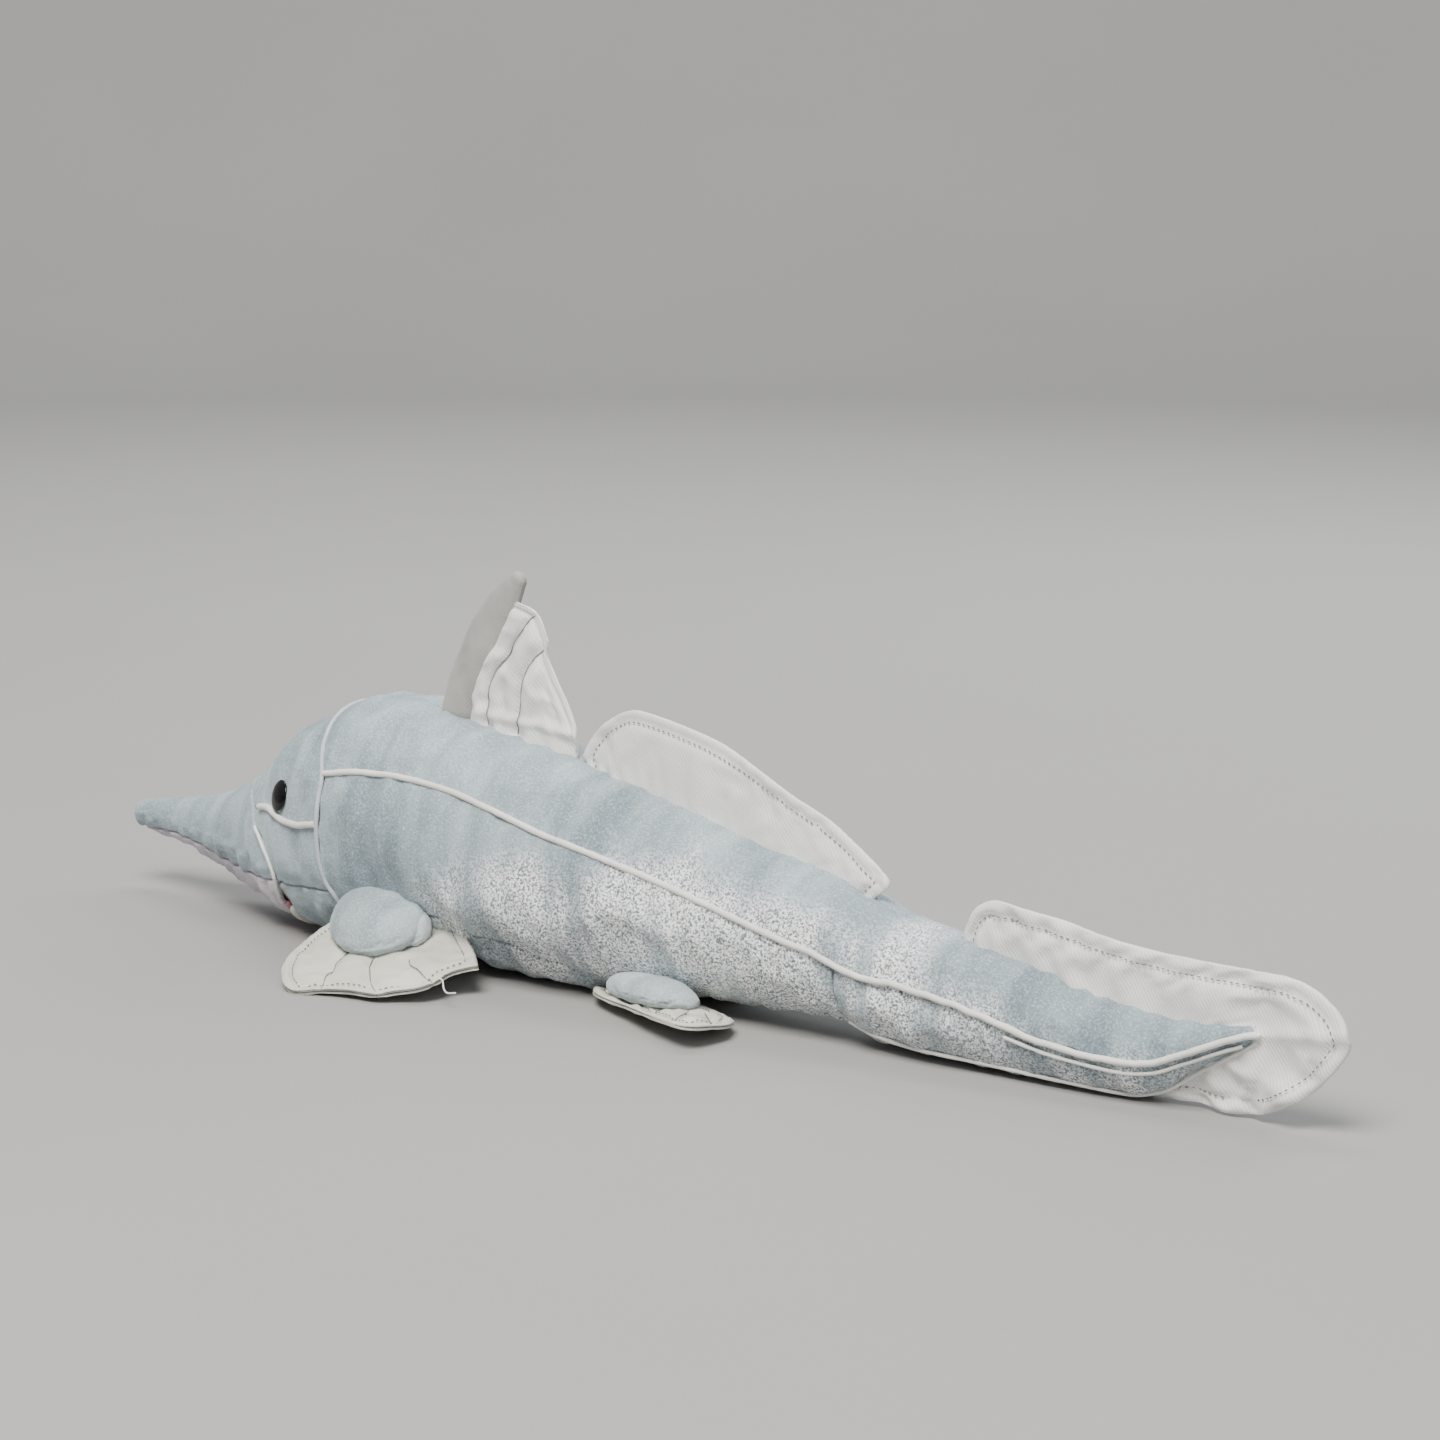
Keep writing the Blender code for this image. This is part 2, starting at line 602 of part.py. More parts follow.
def build_panels(looks, seam):
    half_seam = seam / 2
    lateral_edge = LATERAL_PIPING_D / 2 + PIPING_GAP
    cheek_edge = CHEEK_PIPING_D / 2 + PIPING_GAP
    gill_edge = GILL_PIPING_D / 2 + PIPING_GAP
    jaw_edge = JAW_PIPING_D / 2 + PIPING_GAP
    velvet, pale = looks["velvet"], looks["velvet_pale"]

    def nose(_):
        return SNOUT_TIP_X

    def tail_seam(_):
        return TAIL_SEAM_X

    def tail_end(_):
        return TAIL_TIP_X - TAIL_PANEL_END

    def belly(x):
        return line(BELLY_SEAM, x)

    panel("snout_upper", velvet, nose, jaw_ring, snout_seam, lambda x: other_side(snout_seam(x)),
          (0.0, jaw_edge + PIPING_GAP, half_seam, half_seam))
    panel("snout_underside", pale, lambda _: SNOUT_TIP_X + SNOUT_PANEL_START, jaw_ring,
          lambda x: under_side(snout_seam(x)), snout_seam, (half_seam, jaw_edge, half_seam, half_seam))
    panel("head_top", velvet, jaw_ring, gill_ring, cheek_seam, lambda x: other_side(cheek_seam(x)),
          (jaw_edge, gill_edge, cheek_edge, cheek_edge), row=HEAD_STEP)
    panel("throat", velvet, mouth_edge, gill_ring, lambda x: under_side(gular_seam(x)), gular_seam,
          (jaw_edge, gill_edge, half_seam, half_seam), cell=HEAD_STEP)
    panel("belly", velvet, gill_ring, tail_seam, lambda x: under_side(belly(x)), belly,
          (gill_edge, half_seam, half_seam, half_seam))
    for side, suffix in ((1, "left"), (-1, "right")):
        panel("cheek_" + suffix, velvet, jaw_ring, gill_ring, gular_seam, cheek_seam,
              (jaw_edge + 2 * CLEARANCE, gill_edge, half_seam, cheek_edge + CLEARANCE), side,
              HEAD_STEP, HEAD_STEP)
        panel("back_" + suffix, velvet, gill_ring, tail_end, lateral, lambda _: 90.0,
              (gill_edge, half_seam, lateral_edge, half_seam), side)
        panel("flank_" + suffix, velvet, gill_ring, tail_seam, belly, lateral,
              (gill_edge, half_seam, half_seam, lateral_edge), side)
        panel("tail_flank_" + suffix, velvet, tail_seam, tail_end, lambda _: -90.0, lateral,
              (half_seam, half_seam, half_seam, lateral_edge), side)


def build_piping(looks):
    white, grey = looks["piping_white"], looks["piping_grey"]
    gill_gap = (GILL_PIPING_D + LATERAL_PIPING_D) / 2 + CLEARANCE

    def spread(low, high, steps):
        return [low + (high - low) * k / steps for k in range(steps + 1)]

    def gill_line(low):
        turns = spread(low, other_side(low), GILL_PIPING_STEPS)
        return [skin(gill_ring(a), a) for a in turns]

    tube("gill_piping", gill_line(GILL_PIPING_END), GILL_PIPING_D, grey)
    clearance = hide(tube("gill_clearance", gill_line(GILL_PIPING_END - GILL_CUT_EXTRA),
                          GILL_PIPING_D + 3 * CLEARANCE, None))
    first = gill_ring(lateral(GILL_X)) + gill_gap
    last = TAIL_TIP_X - TAIL_PANEL_END
    line_rows = [first] + [x for x in ROWS if first + CORD_GAP < x < last - CORD_GAP] + [last]
    cheek_last = GILL_X - gill_gap
    cheek_rows = spread(JAW_X - CHEEK_PIPING_AHEAD, cheek_last, CORD_STEPS)
    jaw_turns = spread(JAW_PIPING_END, JAW_PIPING_TOP, CORD_STEPS)
    for side, suffix in ((1, "left"), (-1, "right")):
        tube("lateral_line_" + suffix, [skin(x, lateral(x)) for x in line_rows],
             LATERAL_PIPING_D, white, side)
        tube("cheek_piping_" + suffix, [skin(x, cheek_seam(x)) for x in cheek_rows],
             CHEEK_PIPING_D, white, side)
        tube("jaw_piping_" + suffix, [skin(jaw_ring(a), a) for a in jaw_turns], JAW_PIPING_D, white, side)
    return clearance


def build_mouth(looks):
    low, high = -90.0 - MOUTH_HALF_ANGLE, -90.0 + MOUTH_HALF_ANGLE
    start = jaw_ring(-90.0) + JAW_PIPING_D / 2 + CLEARANCE
    panel("mouth_lining", looks["lining_pink"], lambda _: start, lambda _: start + LINING_LENGTH,
          lambda _: low, lambda _: high, (0.0, 0.0, 0.0, 0.0))
    lip_x = start + LINING_LENGTH + CLEARANCE + LIP_D / 2
    turns = [low + (high - low) * k / LIP_STEPS for k in range(LIP_STEPS + 1)]
    lip = [skin(lip_x, a) for a in turns]
    for point in lip:
        point.z = max(point.z, LIP_D / 2 + CLEARANCE)
    tube("lower_lip", lip, LIP_D, looks["fan_cream"], sides=8)


def turned(name, place, axis, profile, look, side=1, closed=False):
    """Piece turned about an axis: the profile gives radius and height along it."""
    helper = Vector((0.0, 0.0, 1.0)).cross(axis).normalized()
    other = axis.cross(helper)
    count = 14
    rings = [[place + axis * height + (helper * math.cos(math.tau * k / count)
                                       + other * math.sin(math.tau * k / count)) * radius
              for k in range(count)] for radius, height in profile]
    return loft(name, rings, look, side, closed)


def build_eyes(looks, head_top, stuffing):
    eye_x = JAW_X + EYE_BEHIND_JAW
    place, axis = skin(eye_x, EYE_ANGLE), normal(eye_x, EYE_ANGLE)
    rim, stem = EYE_D / 2, EYE_STEM_D / 2
    dome = [(rim * math.cos(turn), CLEARANCE + EYE_RIM + (EYE_DOME - EYE_RIM) * math.sin(turn))
            for turn in map(math.radians, (86, 66, 46, 26, 0))]
    profile = dome + [(rim * 0.94, CLEARANCE), (stem, CLEARANCE), (stem, -EYE_STEM)]
    washer_top = -CLOTH - WASHER_GAP
    hole = stem + CLEARANCE
    washer = [(WASHER_D / 2, washer_top), (WASHER_D / 2, washer_top - WASHER_T),
              (hole, washer_top - WASHER_T), (hole, washer_top)]
    pocket = [(WASHER_D / 2 + 2 * CLEARANCE, CUT_OUTSIDE),
              (WASHER_D / 2 + 2 * CLEARANCE, -EYE_STEM - 2 * CLEARANCE)]
    hole_cut = [(hole, CUT_OUTSIDE), (hole, -CLOTH - CUT_OUTSIDE)]
    for side, suffix in ((1, "left"), (-1, "right")):
        turned("eye_" + suffix, place, axis, profile, looks["eye_black"], side)
        turned("eye_washer_" + suffix, place, axis, washer, looks["washer_white"], side, closed=True)
        cut(stuffing, hide(turned("eye_pocket_" + suffix, place, axis, pocket, None, side)))
        cut(head_top, hide(turned("eye_hole_" + suffix, place, axis, hole_cut, None, side)))


def build_ridge_fins(looks, clearance):
    sideways = Vector((0.0, 1.0, 0.0))
    front = smooth_curve([ridge_place(x, z, SPINE_X) for x, z in SPINE_FRONT], SPINE_STEPS)
    back = smooth_curve([ridge_place(x, z, SPINE_X) for x, z in SPINE_BACK], SPINE_STEPS)
    root_front = front[0] - Vector((0.0, 0.0, FIN_ROOT))
    root_back = back[0] - Vector((0.0, 0.0, FIN_ROOT + SPINE_BACK_ROOT))
    rings = []
    for step, (a, b) in enumerate(zip([root_front] + front, [root_back] + back)):
        thick = SPINE_THICKNESS + (SPINE_TIP_THICKNESS - SPINE_THICKNESS) * max(0, step - 1) / SPINE_STEPS
        middle, reach = (a + b) / 2, (b - a) / 2
        phases = [math.tau * k / SPINE_SIDES for k in range(SPINE_SIDES)]
        rings.append([middle + reach * math.cos(p) + sideways * math.sin(p) * thick / 2 for p in phases])
    tip = rings[-1]
    centre = sum(tip, Vector()) / len(tip)
    direction = (front[-1] - front[-2]).normalized()
    rings.append([centre + (p - centre) * SPINE_CAP_SHARE + direction * SPINE_CAP for p in tip])
    cut(loft("dorsal_spine", rings, looks["sateen_grey"]), clearance)

    crease = [p + Vector((2 * CLEARANCE, 0.0, 0.0)) for p in [root_back] + back[:-1]]
    margin_points = [ridge_place(x, z, SPINE_X) for x, z in MEMBRANE_MARGIN]
    margin_points[0] = crease[-1].copy()
    tail_foot = margin_points[-1] - Vector((1.0, 0.0, FIN_ROOT))
    columns, levels = 14, 6
    curves = (smooth_curve([crease[0], crease[0].lerp(tail_foot, 0.5), tail_foot], columns),
              smooth_curve(margin_points, columns), smooth_curve(crease, levels),
              smooth_curve([tail_foot, margin_points[-1]], levels))
    membrane = fin("dorsal_membrane", looks["sateen_white"], curves, MEMBRANE_THICKNESS, MEMBRANE_RAYS,
                   sideways)
    cut(membrane, clearance)

    columns, levels = 20, 4

    def above(share, height):
        x = SECOND_DORSAL_X + share * SECOND_DORSAL_LENGTH
        return Vector((x, 0.0, ridge(x) + height))

    margin_points = [above(f, h * SECOND_DORSAL_HEIGHT) for f, h in SECOND_DORSAL_SHAPE]
    root = [above(f, -FIN_ROOT) for f in (0.02, 0.25, 0.5, 0.75, 0.98)]
    curves = fin_curves(root, margin_points, columns, levels)
    second = fin("second_dorsal_fin", looks["sateen_white"], curves, SECOND_DORSAL_THICKNESS, (), sideways)
    cut(second, clearance)

    def inside(x, way):
        middle, half_height, _ = section(x)
        return Vector((x, 0.0, middle + way * 0.5 * half_height))

    columns, levels = 26, 4
    end = TAIL_TIP_X - CAUDAL_ROOT_END
    upper = TAIL_TIP_X - CAUDAL_AHEAD
    lower = TAIL_TIP_X - CAUDAL_LOWER_AHEAD
    root = [inside(upper + (end - upper) * f, 1) for f in (0.0, 0.25, 0.5, 0.75, 0.9, 1.0)]
    root += [inside(end + (lower - end) * f, -1) for f in (0.2, 0.6, 1.0)]
    margin_points = [Vector((TAIL_TIP_X + x, 0.0, z)) for x, z in CAUDAL_MARGIN]
    curves = fin_curves(root, margin_points, columns, levels)
    cut(fin("caudal_fin", looks["sateen_white"], curves, CAUDAL_THICKNESS, (), sideways), clearance)


def build_paired_fins(looks, clearance, gill_clearance):
    upwards = Vector((0.0, 0.0, 1.0))
    lobe_lift = FAN_THICKNESS / 2 + CLEARANCE
    fans = (
        ("pectoral", PECTORAL_PLANE, PECTORAL_FRONT, PECTORAL_MARGIN, PECTORAL_REAR, PECTORAL_RAYS,
         (PECTORAL_LOBE_CENTRE, PECTORAL_LOBE_LENGTH, PECTORAL_LOBE_WIDTH, PECTORAL_LOBE_YAW,
          PECTORAL_LOBE_CROWN)),
        ("pelvic", PELVIC_PLANE, PELVIC_FRONT, PELVIC_MARGIN, PELVIC_REAR, PELVIC_RAYS,
         (PELVIC_LOBE_CENTRE, PELVIC_LOBE_LENGTH, PELVIC_LOBE_WIDTH, PELVIC_LOBE_YAW, PELVIC_LOBE_CROWN)),
    )
    for fin_name, plane, front, margin, rear, rays, lobe in fans:
        columns, levels = 16, 5
        root = on_plane((front[0], rear[0]), plane)
        curves = (smooth_curve(root, columns), smooth_curve(on_plane(margin, plane), columns),
                  smooth_curve(on_plane(front, plane), levels), smooth_curve(on_plane(rear, plane), levels))
        for side, suffix in ((1, "left"), (-1, "right")):
            fan = fin(f"{fin_name}_fan_{suffix}", looks["fan_cream"], curves, FAN_THICKNESS, rays,
                      upwards, side)
            lobe_pad = pad(f"{fin_name}_lobe_{suffix}", looks["velvet_lobe"], *lobe, plane, lobe_lift, side)
            for piece in (fan, lobe_pad):
                cut(piece, clearance)
                if fin_name == "pectoral":
                    cut(piece, gill_clearance)


def main():
    clear_scene()
    looks = {
        "velvet": material("velvet_blue_grey", (0.36, 0.43, 0.48), 0.75),
        "velvet_pale": material("velvet_pale", (0.62, 0.60, 0.62), 0.75),
        "velvet_lobe": material("velvet_lobe", (0.44, 0.50, 0.53), 0.75),
        "piping_white": material("piping_white", (0.84, 0.84, 0.80), 0.6),
        "piping_grey": material("piping_grey", (0.62, 0.65, 0.68), 0.6),
        "lining_pink": material("lining_pink", (0.50, 0.20, 0.23), 0.7),
        "sateen_white": material("sateen_white", (0.74, 0.74, 0.75), 0.5),
        "sateen_grey": material("sateen_grey", (0.60, 0.59, 0.56), 0.5),
        "fan_cream": material("fan_cream", (0.60, 0.60, 0.52), 0.6),
        "eye_black": material("eye_black", (0.01, 0.01, 0.012), 0.08),
        "washer_white": material("washer_white", (0.80, 0.80, 0.80), 0.4),
        "fill": material("polyester_fill", (0.85, 0.85, 0.84), 0.9),
    }
    stuffing = body_shell("stuffing", CLOTH + STUFFING_GAP, SNOUT_TIP_X + CORE_NOSE, TAIL_TIP_X - CORE_TAIL,
                          CORE_SIDES, looks["fill"])
    clearance = hide(body_shell("body_clearance", -CLEARANCE, SNOUT_TIP_X, TAIL_TIP_X, CUTTER_SIDES, None))
    build_panels(looks, SEAM_GAP)
    gill_clearance = build_piping(looks)
    build_mouth(looks)
    build_eyes(looks, bpy.data.objects["head_top"], stuffing)
    build_ridge_fins(looks, clearance)
    build_paired_fins(looks, clearance, gill_clearance)


main()
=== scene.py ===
"""Plush chimaera: its sewn velvet skin, quilted fins, piping and stitches.

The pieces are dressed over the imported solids, which keep their places. Lengths are
millimetres unless a name ends in _m. The snout points to -X, the left side faces -Y and the
floor is z = 0. A place on the body is an x and an angle round it: 0 degrees is the left
side, 90 the ridge and -90 the keel.
"""

import logging
import math
from collections.abc import Callable, Sequence
from dataclasses import dataclass, field
from enum import Enum

import bmesh
import bpy
import numpy as np
from bpy.types import Material, Mesh, Node, NodeTree
from bpy.types import NodeSocket as Socket
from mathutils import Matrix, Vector


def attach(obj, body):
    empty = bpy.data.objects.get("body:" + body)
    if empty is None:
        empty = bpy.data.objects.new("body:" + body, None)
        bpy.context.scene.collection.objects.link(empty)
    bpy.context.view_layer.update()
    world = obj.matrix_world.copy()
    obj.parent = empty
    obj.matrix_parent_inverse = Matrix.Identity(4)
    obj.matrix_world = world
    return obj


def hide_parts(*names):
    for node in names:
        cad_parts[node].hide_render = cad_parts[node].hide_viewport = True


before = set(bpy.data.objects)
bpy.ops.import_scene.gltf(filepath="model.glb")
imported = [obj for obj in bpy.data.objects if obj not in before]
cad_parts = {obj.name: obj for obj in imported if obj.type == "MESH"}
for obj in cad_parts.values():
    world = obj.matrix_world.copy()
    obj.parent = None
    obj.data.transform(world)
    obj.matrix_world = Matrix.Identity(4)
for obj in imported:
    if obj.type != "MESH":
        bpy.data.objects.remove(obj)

LOG = logging.getLogger("chimaera")
MM = 0.001
Array = np.ndarray
Table = tuple[tuple[float, ...], ...]
Triple = tuple[float, float, float]
Line = Callable[[Array], Array]
Value = Socket | float | tuple[float, ...]
Faces = list[tuple[int, ...]]

# Landmarks along the body
SNOUT_TIP_X = -278.0
JAW_X = -163.0
GILL_X = -128.5
TAIL_SEAM_X = 95.5
TAIL_TIP_X = 249.0
MOUTH_HALF_ANGLE = 42.0  # degrees to each side of the keel

# Sections between two landmarks: share of the way, keel, ridge, half width
SNOUT_SECTIONS: Table = (
    (0.000, 29.5, 29.5, 0.0), (0.004, 27.3, 31.6, 2.1), (0.012, 25.9, 33.0, 3.4), (0.040, 23.9, 34.8, 5.3),
    (0.120, 21.8, 36.9, 7.4), (0.220, 20.8, 38.5, 8.8), (0.330, 19.0, 41.0, 10.9), (0.430, 16.4, 43.4, 13.3),
    (0.535, 13.6, 46.4, 16.2), (0.640, 10.6, 51.4, 19.6), (0.736, 7.8, 58.2, 23.2), (0.831, 5.6, 66.0, 27.0),
    (0.927, 3.8, 74.3, 31.0),
)
HEAD_SECTIONS: Table = ((0.00, 3.2, 80.3, 34.0), (0.31, 2.8, 85.6, 37.3), (0.60, 3.0, 90.0, 39.8))
TRUNK_SECTIONS: Table = (
    (0.000, 3.8, 93.2, 42.0), (0.054, 4.8, 93.7, 41.5), (0.120, 5.6, 91.5, 39.8), (0.237, 3.2, 87.5, 39.0),
    (0.330, -1.5, 84.0, 38.6), (0.440, -1.6, 78.8, 37.2), (0.563, 1.0, 73.0, 34.2), (0.665, 2.8, 68.0, 31.0),
    (0.766, 4.1, 62.5, 28.0), (0.864, 4.9, 58.0, 25.4), (0.961, 5.4, 53.5, 22.8),
)
TAIL_SECTIONS: Table = (
    (0.000, 4.6, 49.4, 21.8), (0.081, 1.0, 45.5, 21.5), (0.215, -0.9, 42.3, 20.9), (0.345, -1.0, 38.8, 18.6),
    (0.476, -1.0, 35.0, 16.8), (0.606, -0.6, 31.0, 15.1), (0.704, 0.2, 28.8, 13.2), (0.776, 3.6, 27.8, 11.2),
    (0.847, 11.0, 28.8, 8.9), (0.921, 18.5, 30.2, 6.0), (0.970, 23.4, 30.6, 4.0), (1.000, 27.6, 27.6, 0.0),
)
CHIN_FULLNESS: Table = ((-215.0, 2.0), (-165.0, 2.45), (-125.0, 2.45), (-80.0, 2.1), (-40.0, 2.0))

# Seam lines: x and angle
LATERAL_LINE: Table = (
    (-127.0, 27.0), (-116.0, 28.6), (-105.0, 30.8), (-94.0, 33.0), (-79.5, 34.6), (-65.0, 35.2), (-50.0, 34.4),
    (-35.5, 32.4), (-17.0, 30.4), (0.5, 28.4), (22.0, 25.1), (42.5, 21.0), (63.5, 14.6), (84.0, 8.4), (95.5, 7.6),
    (104.0, 9.0), (123.5, 14.0), (142.5, 12.0), (161.5, 5.5), (180.0, -0.6), (198.0, -2.0), (214.5, -3.2),
    (226.0, -3.0), (235.0, 1.0), (244.0, 6.0),
)
CHEEK_SEAM: Table = (
    (-188.0, 23.0), (-176.0, 19.0), (-170.0, 16.6), (-165.0, 14.0), (-159.0, 9.6), (-151.0, 4.8), (-139.0, 1.6),
    (-129.0, 2.2),
)
GULAR_SEAM: Table = ((-163.0, -27.5), (-148.0, -27.6), (-128.0, -28.4))
BELLY_SEAM: Table = (
    (-128.0, -36.0), (-68.0, -34.6), (-55.0, -34.0), (-38.0, -36.6), (-22.0, -42.8), (-11.0, -50.0), (20.0, -60.0),
    (95.5, -66.0),
)
SNOUT_SEAM: Table = (
    (-278.0, -90.0), (-268.0, -52.0), (-250.0, -29.0), (-232.0, -26.5), (-208.0, -27.0), (-163.0, -26.4),
)
TAIL_TRIM: Table = (
    (97.5, -52.0), (150.0, -50.0), (190.0, -55.0), (205.0, -66.0), (220.0, -72.0), (246.0, -70.0),
)
# How far the ring seams run ahead of their landmark: angle and shift
JAW_RING: Table = (
    (-90.0, -4.0), (-46.0, -4.0), (-34.0, -1.6), (-23.0, 0.0), (-12.0, -2.3), (-4.0, -6.7), (3.0, -11.5),
    (15.0, -16.1), (29.0, -21.0), (42.0, -26.0), (60.0, -31.0), (90.0, -34.0),
)
GILL_RING: Table = (
    (-90.0, 3.0), (-36.0, 5.0), (-20.0, 1.4), (0.0, 0.0), (20.0, 0.0), (44.0, -8.0), (65.0, -14.0), (90.0, -17.0),
)


class Side(Enum):
    """The fish's own left and right."""

    LEFT = 1
    RIGHT = -1

    @property
    def word(self) -> str:
        """Name of the side as pieces carry it."""
        return self.name.lower()


class Seam(Enum):
    """How a panel's edge is sewn: gap to the seam line, radius of its roll, depth drawn in."""

    PLAIN = (0.15, 1.3, 0.45)
    PIPED = (0.45, 0.7, 0.22)
    OPEN = (0.0, 0.0, 0.0)

    @property
    def gap(self) -> float:
        """Distance from the edge of the cloth to the seam line."""
        return self.value[0]

    @property
    def roll(self) -> float:
        """Radius of the rolled edge."""
        return self.value[1]

    @property
    def dip(self) -> float:
        """How deep the thread draws the cloth in."""
        return self.value[2]


class SmoothTable:
    """Columns of values that change smoothly along their keys and are held at both ends."""

    def __init__(self, rows: Sequence[Sequence[float]]) -> None:
        """Prepare the slopes.

        Args:
            rows: key followed by one value a column.
        """
        data = np.array(rows, float)
        self.keys, self.values = data[:, 0], data[:, 1:]
        steps = np.diff(self.values, axis=0) / np.diff(self.keys)[:, None]
        before, after = steps[:-1], steps[1:]
        total = np.where(np.abs(before + after) < 1e-12, 1.0, before + after)
        middle = np.where(before * after > 0, 2 * before * after / total, 0.0)
        self.slopes = np.vstack([steps[:1], middle, steps[-1:]])

    def __call__(self, x: Array | float) -> Array:
        """Values at x.

        Args:
            x: places along the keys.

        Returns:
            Array with one more axis than x, holding the columns.
        """
        x = np.clip(np.asarray(x, float), self.keys[0], self.keys[-1])
        i = np.clip(np.searchsorted(self.keys, x, side="right") - 1, 0, len(self.keys) - 2)
        span = (self.keys[i + 1] - self.keys[i])[..., None]
        u = (x - self.keys[i])[..., None] / span
        a, b = self.values[i], self.values[i + 1]
        ma, mb = self.slopes[i] * span, self.slopes[i + 1] * span
        return ((2 * u**3 - 3 * u**2 + 1) * a + (u**3 - 2 * u**2 + u) * ma
                + (3 * u**2 - 2 * u**3) * b + (u**3 - u**2) * mb)

    def line(self, x: Array | float) -> Array:
        """First column at x."""
        return self(x)[..., 0]


class SoftNoise:
    """Smooth repeatable noise between -1 and 1 on a plane."""

    SIZE = 64

    def __init__(self, seed: int) -> None:
        """Draw the lattice.

        Args:
            seed: number that fixes the pattern.
        """
        self.lattice = np.random.RandomState(seed).uniform(-1.0, 1.0, (self.SIZE, self.SIZE))

    def __call__(self, u: Array, v: Array | float = 0.0) -> Array:
        """Noise at places given in lattice steps.

        Args:
            u: first coordinate.
            v: second coordinate.

        Returns:
            Values between -1 and 1.
        """
        u, v = np.broadcast_arrays(np.asarray(u, float), np.asarray(v, float))
        i, j = np.floor(u).astype(int), np.floor(v).astype(int)
        a, b = u - i, v - j
        a, b = a * a * (3 - 2 * a), b * b * (3 - 2 * b)
        n = self.SIZE
        low = self.lattice[i % n, j % n] * (1 - a) + self.lattice[(i + 1) % n, j % n] * a
        high = self.lattice[i % n, (j + 1) % n] * (1 - a) + self.lattice[(i + 1) % n, (j + 1) % n] * a
        return low * (1 - b) + high * b


def ramp(value: Array, start: float, span: float) -> Array:
    """Share from 0 to 1 that rises over a span."""
    return np.clip((value - start) / span, 0.0, 1.0)


def bell(distance: Array, width: float) -> Array:
    """Share that is 1 at no distance and falls away over a width."""
    return np.exp(-(distance / width) ** 2)


def ring_of(count: int) -> Array:
    """Angles of evenly spaced points round a ring."""
    return math.tau * np.arange(count) / count


def line_length(line: Array) -> float:
    """Length of a line of points."""
    return np.linalg.norm(np.diff(line, axis=0), axis=1).sum()


def linear(hex_colour: str) -> tuple[float, float, float, float]:
    """Linear colour of an sRGB hex value.

    Args:
        hex_colour: six digits, such as "A9B8BF".

    Returns:
        Red, green, blue and alpha.
    """
    parts = [int(hex_colour[i:i + 2], 16) / 255 for i in (0, 2, 4)]
    return (*[p / 12.92 if p <= 0.04045 else ((p + 0.055) / 1.055) ** 2.4 for p in parts], 1.0)


def set_inputs(tree: NodeTree, node: Node, inputs: dict) -> None:
    """Link sockets to a node's inputs, or set their values.

    Args:
        tree: shader or geometry tree.
        node: the node.
        inputs: value or output socket for each named or numbered input.
    """
    for key, value in inputs.items():
        if isinstance(value, Socket):
            tree.links.new(value, node.inputs[key])
        else:
            node.inputs[key].default_value = value


def add_node(tree: NodeTree, kind: str, settings: dict | None = None,
             inputs: dict | None = None) -> Node:
    """Add a node with its settings, values and links.

    Args:
        tree: shader or geometry tree.
        kind: the node's class name.
        settings: attributes to set.
        inputs: value or output socket for each named or numbered input.

    Returns:
        The new node.
    """
    made = tree.nodes.new(kind)
    for key, value in (settings or {}).items():
        setattr(made, key, value)
    set_inputs(tree, made, inputs or {})
    return made


def computed(tree: NodeTree, operation: str, *values: Value) -> Socket:
    """Result of one arithmetic step."""
    return add_node(tree, "ShaderNodeMath", {"operation": operation}, dict(enumerate(values))).outputs[0]


def ranged(tree: NodeTree, value: Socket, source: tuple[float, float],
           target: tuple[float, float] = (0.0, 1.0), smooth: bool = False) -> Socket:
    """Value carried from one range to another and held at both ends.

    Args:
        tree: shader tree.
        value: what to carry.
        source: where the range starts and ends.
        target: what its ends become.
        smooth: ease in and out.

    Returns:
        The new value.
    """
    kind = "SMOOTHSTEP" if smooth else "LINEAR"
    return add_node(tree, "ShaderNodeMapRange", {"interpolation_type": kind}, {
        "Value": value, "From Min": source[0], "From Max": source[1], "To Min": target[0],
        "To Max": target[1]}).outputs[0]


def mixed(tree: NodeTree, share: Value, first: Value, second: Value, blend: str = "MIX") -> Socket:
    """Two colours mixed.

    Args:
        tree: shader tree.
        share: share of the second colour.
        first: colour at share 0.
        second: colour at share 1.
        blend: how they mix.

    Returns:
        The mixed colour.
    """
    return add_node(tree, "ShaderNodeMix", {"data_type": "RGBA", "blend_type": blend}, {
        0: share, 6: first, 7: second}).outputs[2]


def grain(tree: NodeTree, place: Socket, scale: Value, detail: float,
          roughness: float = 0.5) -> Socket:
    """Soft noise.

    Args:
        tree: shader tree.
        place: coordinates.
        scale: cells a metre.
        detail: octaves.
        roughness: strength of the fine octaves.

    Returns:
        Noise from 0 to 1.
    """
    return add_node(tree, "ShaderNodeTexNoise", {}, {
        "Vector": place, "Scale": scale, "Detail": detail, "Roughness": roughness}).outputs["Fac"]


def bumped(tree: NodeTree, height: Socket, strength: float, depth: float) -> Socket:
    """Normal of a small relief.

    Args:
        tree: shader tree.
        height: relief from 0 to 1.
        strength: how strongly it shows.
        depth: its depth in millimetres.

    Returns:
        The normal.
    """
    return add_node(tree, "ShaderNodeBump", {}, {
        "Height": height, "Strength": strength, "Distance": depth * MM}).outputs[0]


def new_material(name: str) -> tuple[Material, NodeTree, Node]:
    """Start a node material.

    Args:
        name: what the finish is.

    Returns:
        The material, its tree and its Principled shader.
    """
    made = bpy.data.materials.new(name)
    made.use_nodes = True
    return made, made.node_tree, made.node_tree.nodes["Principled BSDF"]


